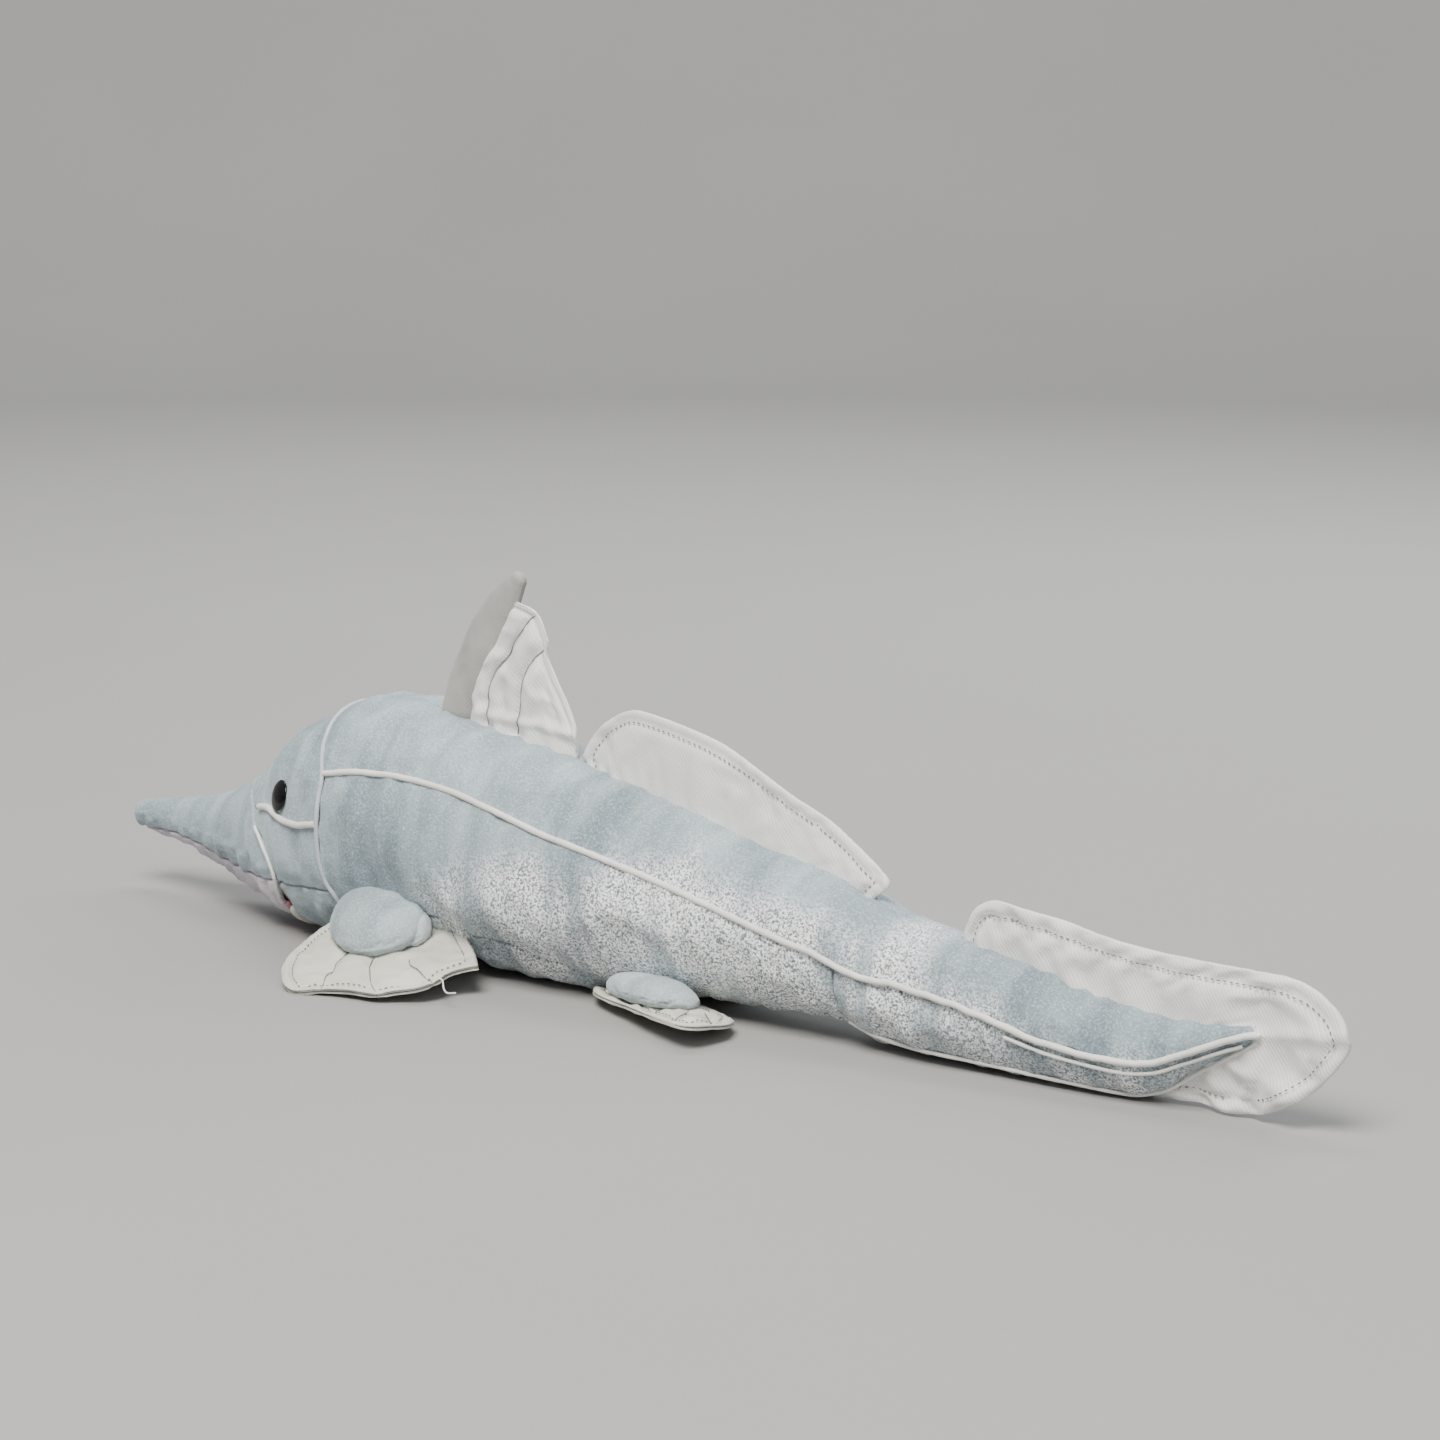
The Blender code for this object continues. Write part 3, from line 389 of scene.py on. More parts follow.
def stretched(tree: NodeTree, scale: Triple = (1.0, 1.0, 1.0), turn: Triple = (0.0, 0.0, 0.0)) -> Socket:
    """Object coordinates, turned and stretched.

    Args:
        tree: shader tree.
        scale: stretch along each axis.
        turn: rotation in degrees.

    Returns:
        The vector socket.
    """
    place = add_node(tree, "ShaderNodeTexCoord")
    return add_node(tree, "ShaderNodeMapping", {}, {
        "Vector": place.outputs["Object"], "Scale": scale,
        "Rotation": tuple(math.radians(a) for a in turn)}).outputs["Vector"]


@dataclass(frozen=True)
class Velvet:
    """Short polyester pile, cut and brushed: matte face-on, silvery at a glance, with glinting fibre tips.

    The sizes of its patches, brushed bands and fibres are millimetres.
    """

    name: str
    shade: str
    light: str
    glint: str
    patch: float = 38.0
    band: float = 13.0
    fibre: float = 0.85
    glint_share: float = 0.35
    crushed: bool = False

    @staticmethod
    def crushed_zone(tree: NodeTree, patch: Socket, streak: Socket) -> Socket:
        """Where painted glints of light turn the brushed pile silvery: low on the flanks and tail, in upright
        streaks.

        Places are metres: the zone's top rises to the middle of the body and falls along the tail.

        Args:
            tree: shader tree.
            patch: broad noise that frays the zone's upper edge.
            streak: narrow noise that breaks it into streaks.

        Returns:
            Share from 0 to 1.
        """
        place = add_node(tree, "ShaderNodeTexCoord")
        split = add_node(tree, "ShaderNodeSeparateXYZ", {}, {0: place.outputs["Object"]})
        x, z = split.outputs["X"], split.outputs["Z"]
        rising = ranged(tree, x, (-0.075, 0.020), (0.036, 0.055))
        falling = ranged(tree, x, (0.020, 0.205), (0.0, -0.040))
        below = computed(tree, "SUBTRACT", computed(tree, "ADD", rising, falling), z)
        frayed = computed(tree, "MULTIPLY_ADD", patch, 0.050, below)
        height = ranged(tree, frayed, (0.016, 0.034), smooth=True)
        front = ranged(tree, x, (-0.098, -0.058), smooth=True)
        streaks = ranged(tree, streak, (0.34, 0.58), (0.22, 1.0), smooth=True)
        return computed(tree, "MULTIPLY", computed(tree, "MULTIPLY", height, front), streaks)

    def make(self) -> Material:
        """Build the material."""
        made, tree, shader = new_material(self.name)
        patch = grain(tree, stretched(tree, (1.0, 1.0, 0.55)), 1 / (self.patch * MM), 3.0)
        band = grain(tree, stretched(tree, (1.0, 0.22, 0.22), (0.0, 12.0, 0.0)), 1 / (self.band * MM), 4.0)
        fibre = grain(tree, stretched(tree), 1 / (self.fibre * MM), 2.0, 0.7)
        brushed = ranged(tree, computed(tree, "ADD", patch, band), (0.78, 1.22))
        cloth = mixed(tree, brushed, linear(self.shade), linear(self.light))
        glinting = mixed(tree, ranged(tree, fibre, (0.50, 0.72), (0.0, self.glint_share)), cloth, linear(self.glint))
        pits = ranged(tree, fibre, (0.50, 0.30), (0.0, 0.2))
        hollow = (0.35, 0.37, 0.42, 1.0)  # share of the light that reaches the roots of the pile
        shaded = mixed(tree, pits, glinting, hollow, "MULTIPLY")
        # Painted glint: low on the flanks and tail the pile is lightened towards white where light catches it
        if self.crushed:
            flank_glint_colour = mixed(tree, ranged(tree, fibre, (0.39, 0.58), smooth=True), linear("6A757E"), linear("FFFFFF"))
            shaded = mixed(tree, self.crushed_zone(tree, patch, band), shaded, flank_glint_colour)
        set_inputs(tree, shader, {
            "Base Color": shaded, "Normal": bumped(tree, fibre, 0.55, 0.5),
            "Roughness": ranged(tree, fibre, (0.35, 0.70), (0.88, 0.52)), "Specular IOR Level": 0.35,
            "Sheen Weight": 0.45, "Sheen Roughness": 0.38, "Sheen Tint": linear("E4ECF0")})
        return made


@dataclass(frozen=True)
class Sateen:
    """Woven sateen or cotton: fine ribs of thread, rib millimetres apart, a low satin gloss, faint creases."""

    name: str
    cloth: str
    soil: str
    rib: float = 1.15
    turn: Triple = (0.0, 32.0, 0.0)
    crossed: bool = False
    relief: float = 0.10
    roughness: float = 0.5
    sheen: float = 0.18

    def ribs(self, tree: NodeTree, turn: Triple) -> Socket:
        """Bands one thread apart.

        Args:
            tree: shader tree.
            turn: direction of the threads, in degrees.

        Returns:
            The band's height, from 0 to 1.
        """
        band_at_scale_one = math.tau / 20  # metres
        return add_node(tree, "ShaderNodeTexWave", {"bands_direction": "X"}, {
            "Vector": stretched(tree, turn=turn), "Scale": band_at_scale_one / (self.rib * MM),
            "Distortion": 0.6, "Detail": 1.0, "Detail Scale": 0.4}).outputs["Fac"]

    def make(self) -> Material:
        """Build the material."""
        made, tree, shader = new_material(self.name)
        ribs = self.ribs(tree, self.turn)
        if self.crossed:
            other = self.ribs(tree, (self.turn[0], self.turn[1], self.turn[2] + 90.0))
            ribs = computed(tree, "MULTIPLY", ribs, other)
        cloud = grain(tree, stretched(tree), 42.0, 5.0, 0.62)  # clouds 24 mm across
        # Creases 8 mm apart, drawn out to 24 mm
        crease = grain(tree, stretched(tree, (1.0, 1.0, 0.35), (0.0, 24.0, 0.0)), 120.0, 3.0)
        clean = mixed(tree, ranged(tree, cloud, (0.36, 0.66)), linear(self.soil), linear(self.cloth))
        # Darker between the ribs: painted shade in the grooves of the weave
        depth = ranged(tree, ribs, (0.0, 1.0), (1.0 - self.relief, 1.0))
        height = computed(tree, "MULTIPLY_ADD", crease, 2.2, ribs)
        set_inputs(tree, shader, {
            "Base Color": mixed(tree, 1.0, clean, depth, "MULTIPLY"), "Normal": bumped(tree, height, 0.4, 0.18),
            "Roughness": ranged(tree, ribs, (0.0, 1.0), (self.roughness + 0.12, self.roughness - 0.04)),
            "Specular IOR Level": 0.4, "Sheen Weight": self.sheen, "Sheen Roughness": 0.4})
        return made


@dataclass(frozen=True)
class Moulded:
    """Injection-moulded plastic, polished for an eye or left satin for a washer."""

    name: str
    colour: str
    bloom: str
    roughness: float
    specular: float = 0.5

    def make(self) -> Material:
        """Build the material."""
        made, tree, shader = new_material(self.name)
        flow = grain(tree, stretched(tree), 700.0, 3.0)  # flow marks 1.4 mm across
        set_inputs(tree, shader, {
            "Base Color": mixed(tree, flow, linear(self.colour), linear(self.bloom)),
            "Roughness": ranged(tree, flow, (0.0, 1.0), (self.roughness * 0.7, self.roughness * 1.4)),
            "IOR": 1.49, "Specular IOR Level": self.specular})
        return made


@dataclass(frozen=True)
class SpunThread:
    """Spun polyester sewing thread: matte, with its twist showing as light and dark."""

    name: str
    colour: str
    twist: str

    def make(self) -> Material:
        """Build the material."""
        made, tree, shader = new_material(self.name)
        ply = grain(tree, stretched(tree), 2600.0, 2.0)  # twist 0.4 mm long
        set_inputs(tree, shader, {
            "Base Color": mixed(tree, ply, linear(self.colour), linear(self.twist)),
            "Normal": bumped(tree, ply, 0.5, 0.1), "Roughness": 0.8})
        return made


@dataclass(frozen=True)
class PaintedFloor:
    """Matte painted board of the studio, pale and even."""

    name: str
    colour: str
    patch: str

    def make(self) -> Material:
        """Build the material."""
        made, tree, shader = new_material(self.name)
        cloud = grain(tree, stretched(tree), 3.0, 4.0)  # patches 0.3 m across
        set_inputs(tree, shader, {
            "Base Color": mixed(tree, cloud, linear(self.colour), linear(self.patch)), "Roughness": 0.85})
        return made


Finish = Velvet | Sateen | Moulded | SpunThread | PaintedFloor


def made_once(finish: Finish) -> Material:
    """Field whose material is made when the finishes are."""
    return field(default_factory=finish.make)


@dataclass
class Finishes:
    """Every finish of the fish, made once."""

    # Smoky blue pile of the body, with painted silvery glints low on the flanks and tail where the pile lies brushed
    velvet: Material = made_once(Velvet(
        "velboa_blue_grey", "76868F", "A5B4BB", "E4ECEF", crushed=True))
    # Pale mauve pile under the snout
    velvet_pale: Material = made_once(Velvet(
        "velboa_pale_underside", "B5ACB9", "CFC6D1", "F2F0F4"))
    # Lighter grey-green pile of the lobes on the fans
    velvet_lobe: Material = made_once(Velvet(
        "velboa_fin_lobe", "8E9CA1", "B4C0C3", "EEF3F2"))
    # Bright puckered cords along the seams
    piping_white: Material = made_once(Sateen(
        "bias_strip_white", "F4F3EE", "E0DFD9", rib=0.8, turn=(20.0, 40.0, 0.0), sheen=0.3))
    # Duller cord round the gills, which shows less
    piping_grey: Material = made_once(Sateen(
        "bias_strip_blue_grey", "CBCDD8", "B7BAC6", rib=0.8, turn=(20.0, 40.0, 0.0), sheen=0.3))
    # Dusky pink weave inside the mouth
    lining: Material = made_once(Sateen(
        "cotton_lining_pink", "C08088", "A2646E", rib=0.7, crossed=True, roughness=0.7))
    # White fins with fine ribs and a soft shine
    sateen_white: Material = made_once(Sateen(
        "cotton_sateen_white", "F3F1EC", "E6E3E1"))
    # Warm grey spine, darker than the fins
    sateen_grey: Material = made_once(Sateen(
        "cotton_sateen_warm_grey", "B2B0AB", "9A9893", rib=1.0))
    # Greenish cream fans and lip of plain cotton
    cream: Material = made_once(Sateen(
        "cotton_cream", "DCDCD0", "C9C9BD", rib=0.9, turn=(0.0, 0.0, 28.0), crossed=True, roughness=0.62))
    # Black dome with one clear highlight
    eye: Material = made_once(Moulded(
        "acrylic_black_polished", "050506", "0A0A0C", 0.11, specular=0.36))
    # Milky plastic inside the head, out of sight
    washer: Material = made_once(Moulded(
        "nylon_natural_satin", "DCDAD4", "E8E7E2", 0.42))
    # Thin dark stitches, and ray seams on the white cloth whose dark cords also paint the shade in their grooves
    thread: Material = made_once(SpunThread(
        "polyester_thread_grey", "4E5054", "8A8C8E"))
    # White filling behind the cloth, out of sight
    fibre: Material = made_once(SpunThread(
        "polyester_fibre_fill", "E6E6E2", "F4F4F2"))


class BodyForm:
    """Surface of the stuffed body."""

    PRESS = 1.2

    def __init__(self) -> None:
        """Join the stretches between landmarks into one table."""
        stretches = ((SNOUT_TIP_X, JAW_X, SNOUT_SECTIONS), (JAW_X, GILL_X, HEAD_SECTIONS),
                     (GILL_X, TAIL_SEAM_X, TRUNK_SECTIONS), (TAIL_SEAM_X, TAIL_TIP_X, TAIL_SECTIONS))
        self.table = SmoothTable([(start + share * (end - start), *sizes)
                                  for start, end, rows in stretches for share, *sizes in rows])
        self.chin = SmoothTable(CHIN_FULLNESS)

    def sections(self, x: Array) -> tuple[Array, Array, Array]:
        """Middle height, half height and half width at x."""
        values = self.table(x)
        keel, ridge = values[..., 0], values[..., 1]
        return (keel + ridge) / 2, (ridge - keel) / 2, values[..., 2]

    def degree(self, x: Array) -> Array:
        """Length of one degree round the body at x."""
        _, tall, wide = self.sections(x)
        return np.radians((tall + wide) / 2) + 1e-3

    def point(self, x: Array, angle: Array) -> Array:
        """Points of the surface before the floor presses it.

        Args:
            x: place along the body.
            angle: degrees round it.

        Returns:
            Array of points.
        """
        middle, tall, wide = self.sections(x)
        across, up = np.cos(np.radians(angle)), np.sin(np.radians(angle))
        power = 2.0 / self.chin.line(x)
        low = up < 0.0
        across = np.where(low, np.sign(across) * np.abs(across) ** power, across)
        up = np.where(low, -np.abs(up) ** power, up)
        return np.stack([x, -wide * across, middle + tall * up], -1)

    def normal(self, x: Array, angle: Array) -> Array:
        """Outward directions of the surface.

        Args:
            x: place along the body.
            angle: degrees round it.

        Returns:
            Array of unit vectors.
        """
        step = 0.5
        ahead, behind = np.minimum(x + step, TAIL_TIP_X), np.maximum(x - step, SNOUT_TIP_X)
        along = self.point(ahead, angle) - self.point(behind, angle)
        around = self.point(x, angle + 1.0) - self.point(x, angle - 1.0)
        out = np.cross(along, around)
        size = np.linalg.norm(out, axis=-1, keepdims=True)
        ends = np.stack([np.where(x < 0, -1.0, 1.0), np.zeros_like(x), np.zeros_like(x)], -1)
        return np.where(size > 1e-6, out / np.maximum(size, 1e-6), ends)

    def skin(self, x: Array, angle: Array, lift: Array | float = 0.0) -> Array:
        """Points lifted off the surface, with the underside pressed by the floor.

        Args:
            x: place along the body.
            angle: degrees round it.
            lift: height over the surface.

        Returns:
            Array of points.
        """
        x, angle = np.broadcast_arrays(np.asarray(x, float), np.asarray(angle, float))
        points = self.point(x, angle) + self.normal(x, angle) * np.asarray(lift)[..., None]
        z = points[..., 2]
        points[..., 2] = (z + np.sqrt(z * z + self.PRESS ** 2)) / 2
        return points


def folded(angle: Array) -> Array:
    """The angle of the same height on the left side."""
    angle = np.where(angle > 90.0, 180.0 - angle, angle)
    return np.where(angle < -90.0, -180.0 - angle, angle)


class Seams:
    """The body's seam lines: rings give x for an angle, the others an angle for x."""

    def __init__(self) -> None:
        """Prepare the tables."""
        self.lateral = SmoothTable(LATERAL_LINE).line
        self.cheek = SmoothTable(CHEEK_SEAM).line
        self.gular = SmoothTable(GULAR_SEAM).line
        self.belly = SmoothTable(BELLY_SEAM).line
        self.snout = SmoothTable(SNOUT_SEAM).line
        self._jaw = SmoothTable(JAW_RING).line
        self._gill = SmoothTable(GILL_RING).line

    def jaw(self, angle: Array) -> Array:
        """Ring round the jaw."""
        return JAW_X + self._jaw(folded(np.asarray(angle, float)))

    def gill(self, angle: Array) -> Array:
        """Ring behind the gills."""
        return GILL_X + self._gill(folded(np.asarray(angle, float)))

    @staticmethod
    def at(x: float) -> Line:
        """Straight ring at x."""
        return lambda angle: np.full_like(np.asarray(angle, float), x)

    @staticmethod
    def level(angle: float) -> Line:
        """Line along the body at one angle."""
        return lambda x: np.full_like(np.asarray(x, float), angle)


def other_side(seam: Line) -> Line:
    """The same seam on the right side, over the ridge."""
    return lambda x: 180.0 - seam(x)


def under_side(seam: Line) -> Line:
    """The same seam on the right side, under the keel."""
    return lambda x: -180.0 - seam(x)


def dress(name: str, mesh: Mesh, look: Material,
          nodes: Sequence[str] = ()) -> bpy.types.Object:
    """Hang a finished mesh on the fish.

    Args:
        name: the piece's name.
        mesh: its mesh, in place.
        look: its material.
        nodes: CAD nodes that it stands for.

    Returns:
        The piece, riding on the body.
    """
    mesh.materials.clear()
    mesh.materials.append(look)
    piece = bpy.data.objects.new(name, mesh)
    bpy.context.collection.objects.link(piece)
    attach(piece, "root")
    if nodes:
        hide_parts(*nodes)
    LOG.info("%s: %d faces", name, len(mesh.polygons))
    return piece


def mesh_from(name: str, points: Array, faces: Faces, side: Side = Side.LEFT, uv: Array | None = None) -> Mesh:
    """Closed smooth mesh whose faces point outwards.

    Args:
        name: the mesh's name.
        points: points in millimetres.
        faces: corners of each face.
        side: RIGHT mirrors the points.
        uv: place of each point on the flat cloth, in metres.

    Returns:
        The mesh, in metres.
    """
    placed = points * MM
    placed[:, 1] *= side.value
    mesh = bpy.data.meshes.new(name)
    mesh.from_pydata(placed.tolist(), [], faces)
    if uv is not None:
        layer = mesh.uv_layers.new(name="cloth")
        corners = np.empty(len(mesh.loops), int)
        mesh.loops.foreach_get("vertex_index", corners)
        layer.data.foreach_set("uv", uv[corners].astype(float).ravel())
    work = bmesh.new()
    work.from_mesh(mesh)
    bmesh.ops.remove_doubles(work, verts=work.verts, dist=2e-6)
    bmesh.ops.dissolve_degenerate(work, edges=work.edges, dist=1e-6)
    bmesh.ops.recalc_face_normals(work, faces=work.faces)
    if work.calc_volume(signed=True) < 0:
        bmesh.ops.reverse_faces(work, faces=work.faces)
    work.to_mesh(mesh)
    work.free()
    mesh.shade_smooth()
    return mesh


def grid_faces(rows: int, columns: int, first: int = 0, wrap: bool = False) -> Faces:
    """Faces of a grid of points.

    Args:
        rows: number of rows.
        columns: number of points a row.
        first: index of the first point.
        wrap: join the last column to the first.

    Returns:
        Corners of each face.
    """
    faces = []
    for i in range(rows - 1):
        for j in range(columns if wrap else columns - 1):
            k = (j + 1) % columns
            a, b = first + i * columns, first + (i + 1) * columns
            faces.append((a + j, b + j, b + k, a + k))
    return faces


def layer_faces(rows: int, columns: int) -> Faces:
    """Faces of two grids of points, the second turned over.

    Args:
        rows: number of rows of each grid.
        columns: number of points a row.

    Returns:
        Corners of each face.
    """
    upper = grid_faces(rows, columns)
    return upper + [tuple(reversed([k + rows * columns for k in face])) for face in upper]


def sheet_mesh(name: str, top: Array, bottom: Array, side: Side = Side.LEFT, uv: Array | None = None,
               groove: float = 0.0) -> Mesh:
    """Closed cloth between two grids of points.

    Args:
        name: the mesh's name.
        top: outer grid.
        bottom: inner grid.
        side: RIGHT mirrors the points.
        uv: flat place of each grid point.
        groove: how far the middle of the wall is drawn in, where two layers show.

    Returns:
        The mesh.
    """
    rows, columns = top.shape[:2]
    size = rows * columns
    faces = layer_faces(rows, columns)
    rim = ([i * columns for i in range(rows)] + [(rows - 1) * columns + j for j in range(1, columns)]
           + [i * columns + columns - 1 for i in range(rows - 2, -1, -1)] + list(range(columns - 2, 0, -1)))
    upper, lower = top.reshape(-1, 3), bottom.reshape(-1, 3)
    inward = upper.mean(0) - upper[rim]
    inward /= np.linalg.norm(inward, axis=1, keepdims=True) + 1e-9
    walls = (upper[rim] + lower[rim]) / 2 + inward * groove
    points = np.vstack([upper, lower, walls])
    count = len(rim)
    for k in range(count):
        n = (k + 1) % count
        a, b, c, d = rim[k], rim[n], 2 * size + k, 2 * size + n
        faces.append((a, b, d, c))
        faces.append((c, d, b + size, a + size))
    if uv is not None:
        flat = uv.reshape(-1, 2)
        uv = np.vstack([flat, flat, flat[rim]])
    return mesh_from(name, points, faces, side, uv)


def crowded(count: int, ends: float = 0.75) -> Array:
    """Shares from 0 to 1 that crowd towards both ends.

    Args:
        count: number of steps.
        ends: how much closer they stand at the ends.

    Returns:
        Array of count + 1 shares.
    """
    u = np.linspace(0.0, 1.0, count + 1)
    return u - ends * np.sin(math.tau * u) / math.tau


def resample(grid: Array, rows: Array, columns: Array) -> Array:
    """Values of a coarse grid at shares along its rows and columns.

    Args:
        grid: coarse values, rows by columns by anything.
        rows: share along the rows for each output row.
        columns: share along the columns for each output column.

    Returns:
        The finer grid.
    """
    def spread(values: Array, shares: Array) -> Array:
        """Smooth values along the first axis."""
        place = shares * (len(values) - 1)
        i = np.clip(place.astype(int), 0, len(values) - 2)
        u = (place - i).reshape((-1,) + (1,) * (values.ndim - 1))
        last = len(values) - 1
        p0, p1 = values[np.maximum(i - 1, 0)], values[i]
        p2, p3 = values[i + 1], values[np.minimum(i + 2, last)]
        return 0.5 * (2 * p1 + (p2 - p0) * u + (2 * p0 - 5 * p1 + 4 * p2 - p3) * u * u
                      + (3 * p1 - p0 - 3 * p2 + p3) * u ** 3)

    return np.swapaxes(spread(np.swapaxes(spread(grid, rows), 0, 1), columns), 0, 1)


@dataclass
class ClothRun:
    """Lets stuffed cloth settle: pressure swells it and slack buckles it between its seams."""

    pressure: float = 3.0
    slack: float = 0.03
    steps: int = 16
    bend: float = 0.4
    cap: float = 2.5

    def settle(self, points: Array, faces: Faces, held: Array) -> Array:
        """Run the simulation.

        Args:
            points: start, in millimetres.
            faces: corners of each face.
            held: 1 where a seam holds the cloth, 0 where it is free.
        """
        mesh = bpy.data.meshes.new("cloth_run")
        mesh.from_pydata((points * MM).tolist(), [], faces)
        cloth = bpy.data.objects.new("cloth_run", mesh)
        bpy.context.collection.objects.link(cloth)
        group = cloth.vertex_groups.new(name="held")
        for index, weight in enumerate(held.ravel()):
            group.add([index], float(weight), "REPLACE")
        run = cloth.modifiers.new("settle", "CLOTH")
        options = run.settings
        options.quality = 6
        options.mass = 0.1
        options.tension_stiffness = options.compression_stiffness = 12.0
        options.shear_stiffness = 6.0
        options.bending_stiffness = self.bend
        options.vertex_group_mass = "held"
        options.use_pressure = True
        options.uniform_pressure_force = self.pressure
        options.shrink_min = -self.slack
        options.effector_weights.gravity = 0.0
        run.collision_settings.use_collision = False
        run.point_cache.frame_start, run.point_cache.frame_end = 1, self.steps + 1
        scene = bpy.context.scene
        for step in range(1, self.steps + 1):
            scene.frame_set(step)
        shape = cloth.evaluated_get(bpy.context.evaluated_depsgraph_get()).to_mesh()
        moved = np.empty(len(points) * 3)
        shape.vertices.foreach_get("co", moved)
        moved = moved.reshape(-1, 3) / MM - points
        bpy.data.objects.remove(cloth, do_unlink=True)
        scene.frame_set(1)
        size = np.linalg.norm(moved, axis=1, keepdims=True)
        LOG.info("cloth run: moved %.2f mm at most", size.max())
        return moved * np.minimum(1.0, self.cap / np.maximum(size, 1e-6))


@dataclass
class Stuffing:
    """The fibre core, and how far it swells the skin between its seams."""

    form: BodyForm
    seams: Seams
    depth: float = 2.8
    rows: int = 118
    columns: int = 60
    seam_reach: float = 6.0

    def grid(self) -> tuple[Array, Array]:
        """Places along and round the whole body."""
        x = np.linspace(SNOUT_TIP_X + 2.0, TAIL_TIP_X - 3.0, self.rows)
        angle = -90.0 + 360.0 * np.arange(self.columns) / self.columns
        return np.meshgrid(x, angle, indexing="ij")

    def near_seam(self, x: Array, angle: Array) -> Array:
        """How firmly the nearest seam holds each place, from 0 to 1.

        Args:
            x: place along the body.
            angle: degrees round it, from -90 to 270.

        Returns:
            Array of weights.
        """
        level, degree = folded(angle), self.form.degree(x)
        trunk, head, tail = x > self.seams.gill(angle), x > self.seams.jaw(angle), x > TAIL_SEAM_X
        gaps = [
            np.abs(x - self.seams.jaw(angle)), np.abs(x - self.seams.gill(angle)), np.abs(x - TAIL_SEAM_X),
            np.where(trunk, np.abs(level - self.seams.lateral(x)) * degree, 99.0),
            np.where(trunk & ~tail, np.abs(level - self.seams.belly(x)) * degree, 99.0),
            np.where(tail, np.abs(level + 90.0) * degree, 99.0),
            np.where(trunk, np.abs(level - 90.0) * degree, 99.0),
            np.where(head & ~trunk, np.abs(level - self.seams.cheek(x)) * degree, 99.0),
            np.where(head & ~trunk, np.abs(level - self.seams.gular(x)) * degree, 99.0),
            np.where(~head, np.abs(level - self.seams.snout(x)) * degree, 99.0),
        ]
        return bell(np.min(gaps, axis=0), self.seam_reach)

    def settle(self) -> None:
        """Simulate the skin as one stuffed tube and keep its swelling."""
        x, angle = self.grid()
        held = self.near_seam(x, angle)
        held[0], held[-1] = 1.0, 1.0
        faces = grid_faces(self.rows, self.columns, wrap=True)
        faces.append(tuple(range(self.columns)))
        faces.append(tuple(reversed(range((self.rows - 1) * self.columns, self.rows * self.columns))))
        faces = [tuple(reversed(f)) for f in faces]
        start = self.form.skin(x, angle).reshape(-1, 3)
        moved = ClothRun(pressure=5.0, slack=0.045, cap=3.0).settle(start, faces, held)
        out = self.form.normal(x, angle).reshape(-1, 3)
        swell = (moved * out).sum(1).reshape(x.shape)
        around = (np.roll(swell, 1, 1) + np.roll(swell, -1, 1)) / 2
        slim = np.clip(self.form.sections(x)[2] / 14.0, 0.25, 1.0)
        self.swelling = np.clip((swell * 0.6 + around * 0.4) * slim, -0.4, 3.0)

    def lift(self, x: Array, angle: Array) -> Array:
        """Swelling at any place.

        Args:
            x: place along the body.
            angle: degrees round it.

        Returns:
            Height over the plain surface.
        """
        i = np.clip((x - SNOUT_TIP_X - 2.0) / (TAIL_TIP_X - SNOUT_TIP_X - 5.0), 0.0, 1.0) * (self.rows - 1)
        j = ((angle + 90.0) % 360.0) / 360.0 * self.columns
        a, b = np.minimum(i.astype(int), self.rows - 2), j.astype(int)
        u, v = i - a, j - b
        u, v = u * u * (3 - 2 * u), v * v * (3 - 2 * v)
        b, n = b % self.columns, (b + 1) % self.columns
        return ((self.swelling[a, b] * (1 - v) + self.swelling[a, n] * v) * (1 - u)
                + (self.swelling[a + 1, b] * (1 - v) + self.swelling[a + 1, n] * v) * u)

    def build(self, look: Material) -> None:
        """Make the fibre core.

        Args:
            look: the fibre's finish.
        """
        x, angle = self.grid()
        _, tall, wide = self.form.sections(x)
        points = self.form.skin(x, angle, -np.minimum(self.depth, np.minimum(tall, wide) * 0.6))
        faces = grid_faces(self.rows, self.columns, wrap=True)
        faces += [tuple(range(self.columns)), tuple(range((self.rows - 1) * self.columns, self.rows * self.columns))]
        mesh = mesh_from("fibre_core", points.reshape(-1, 3), faces)
        piece = dress("fibre_core", mesh, look, ["stuffing"])


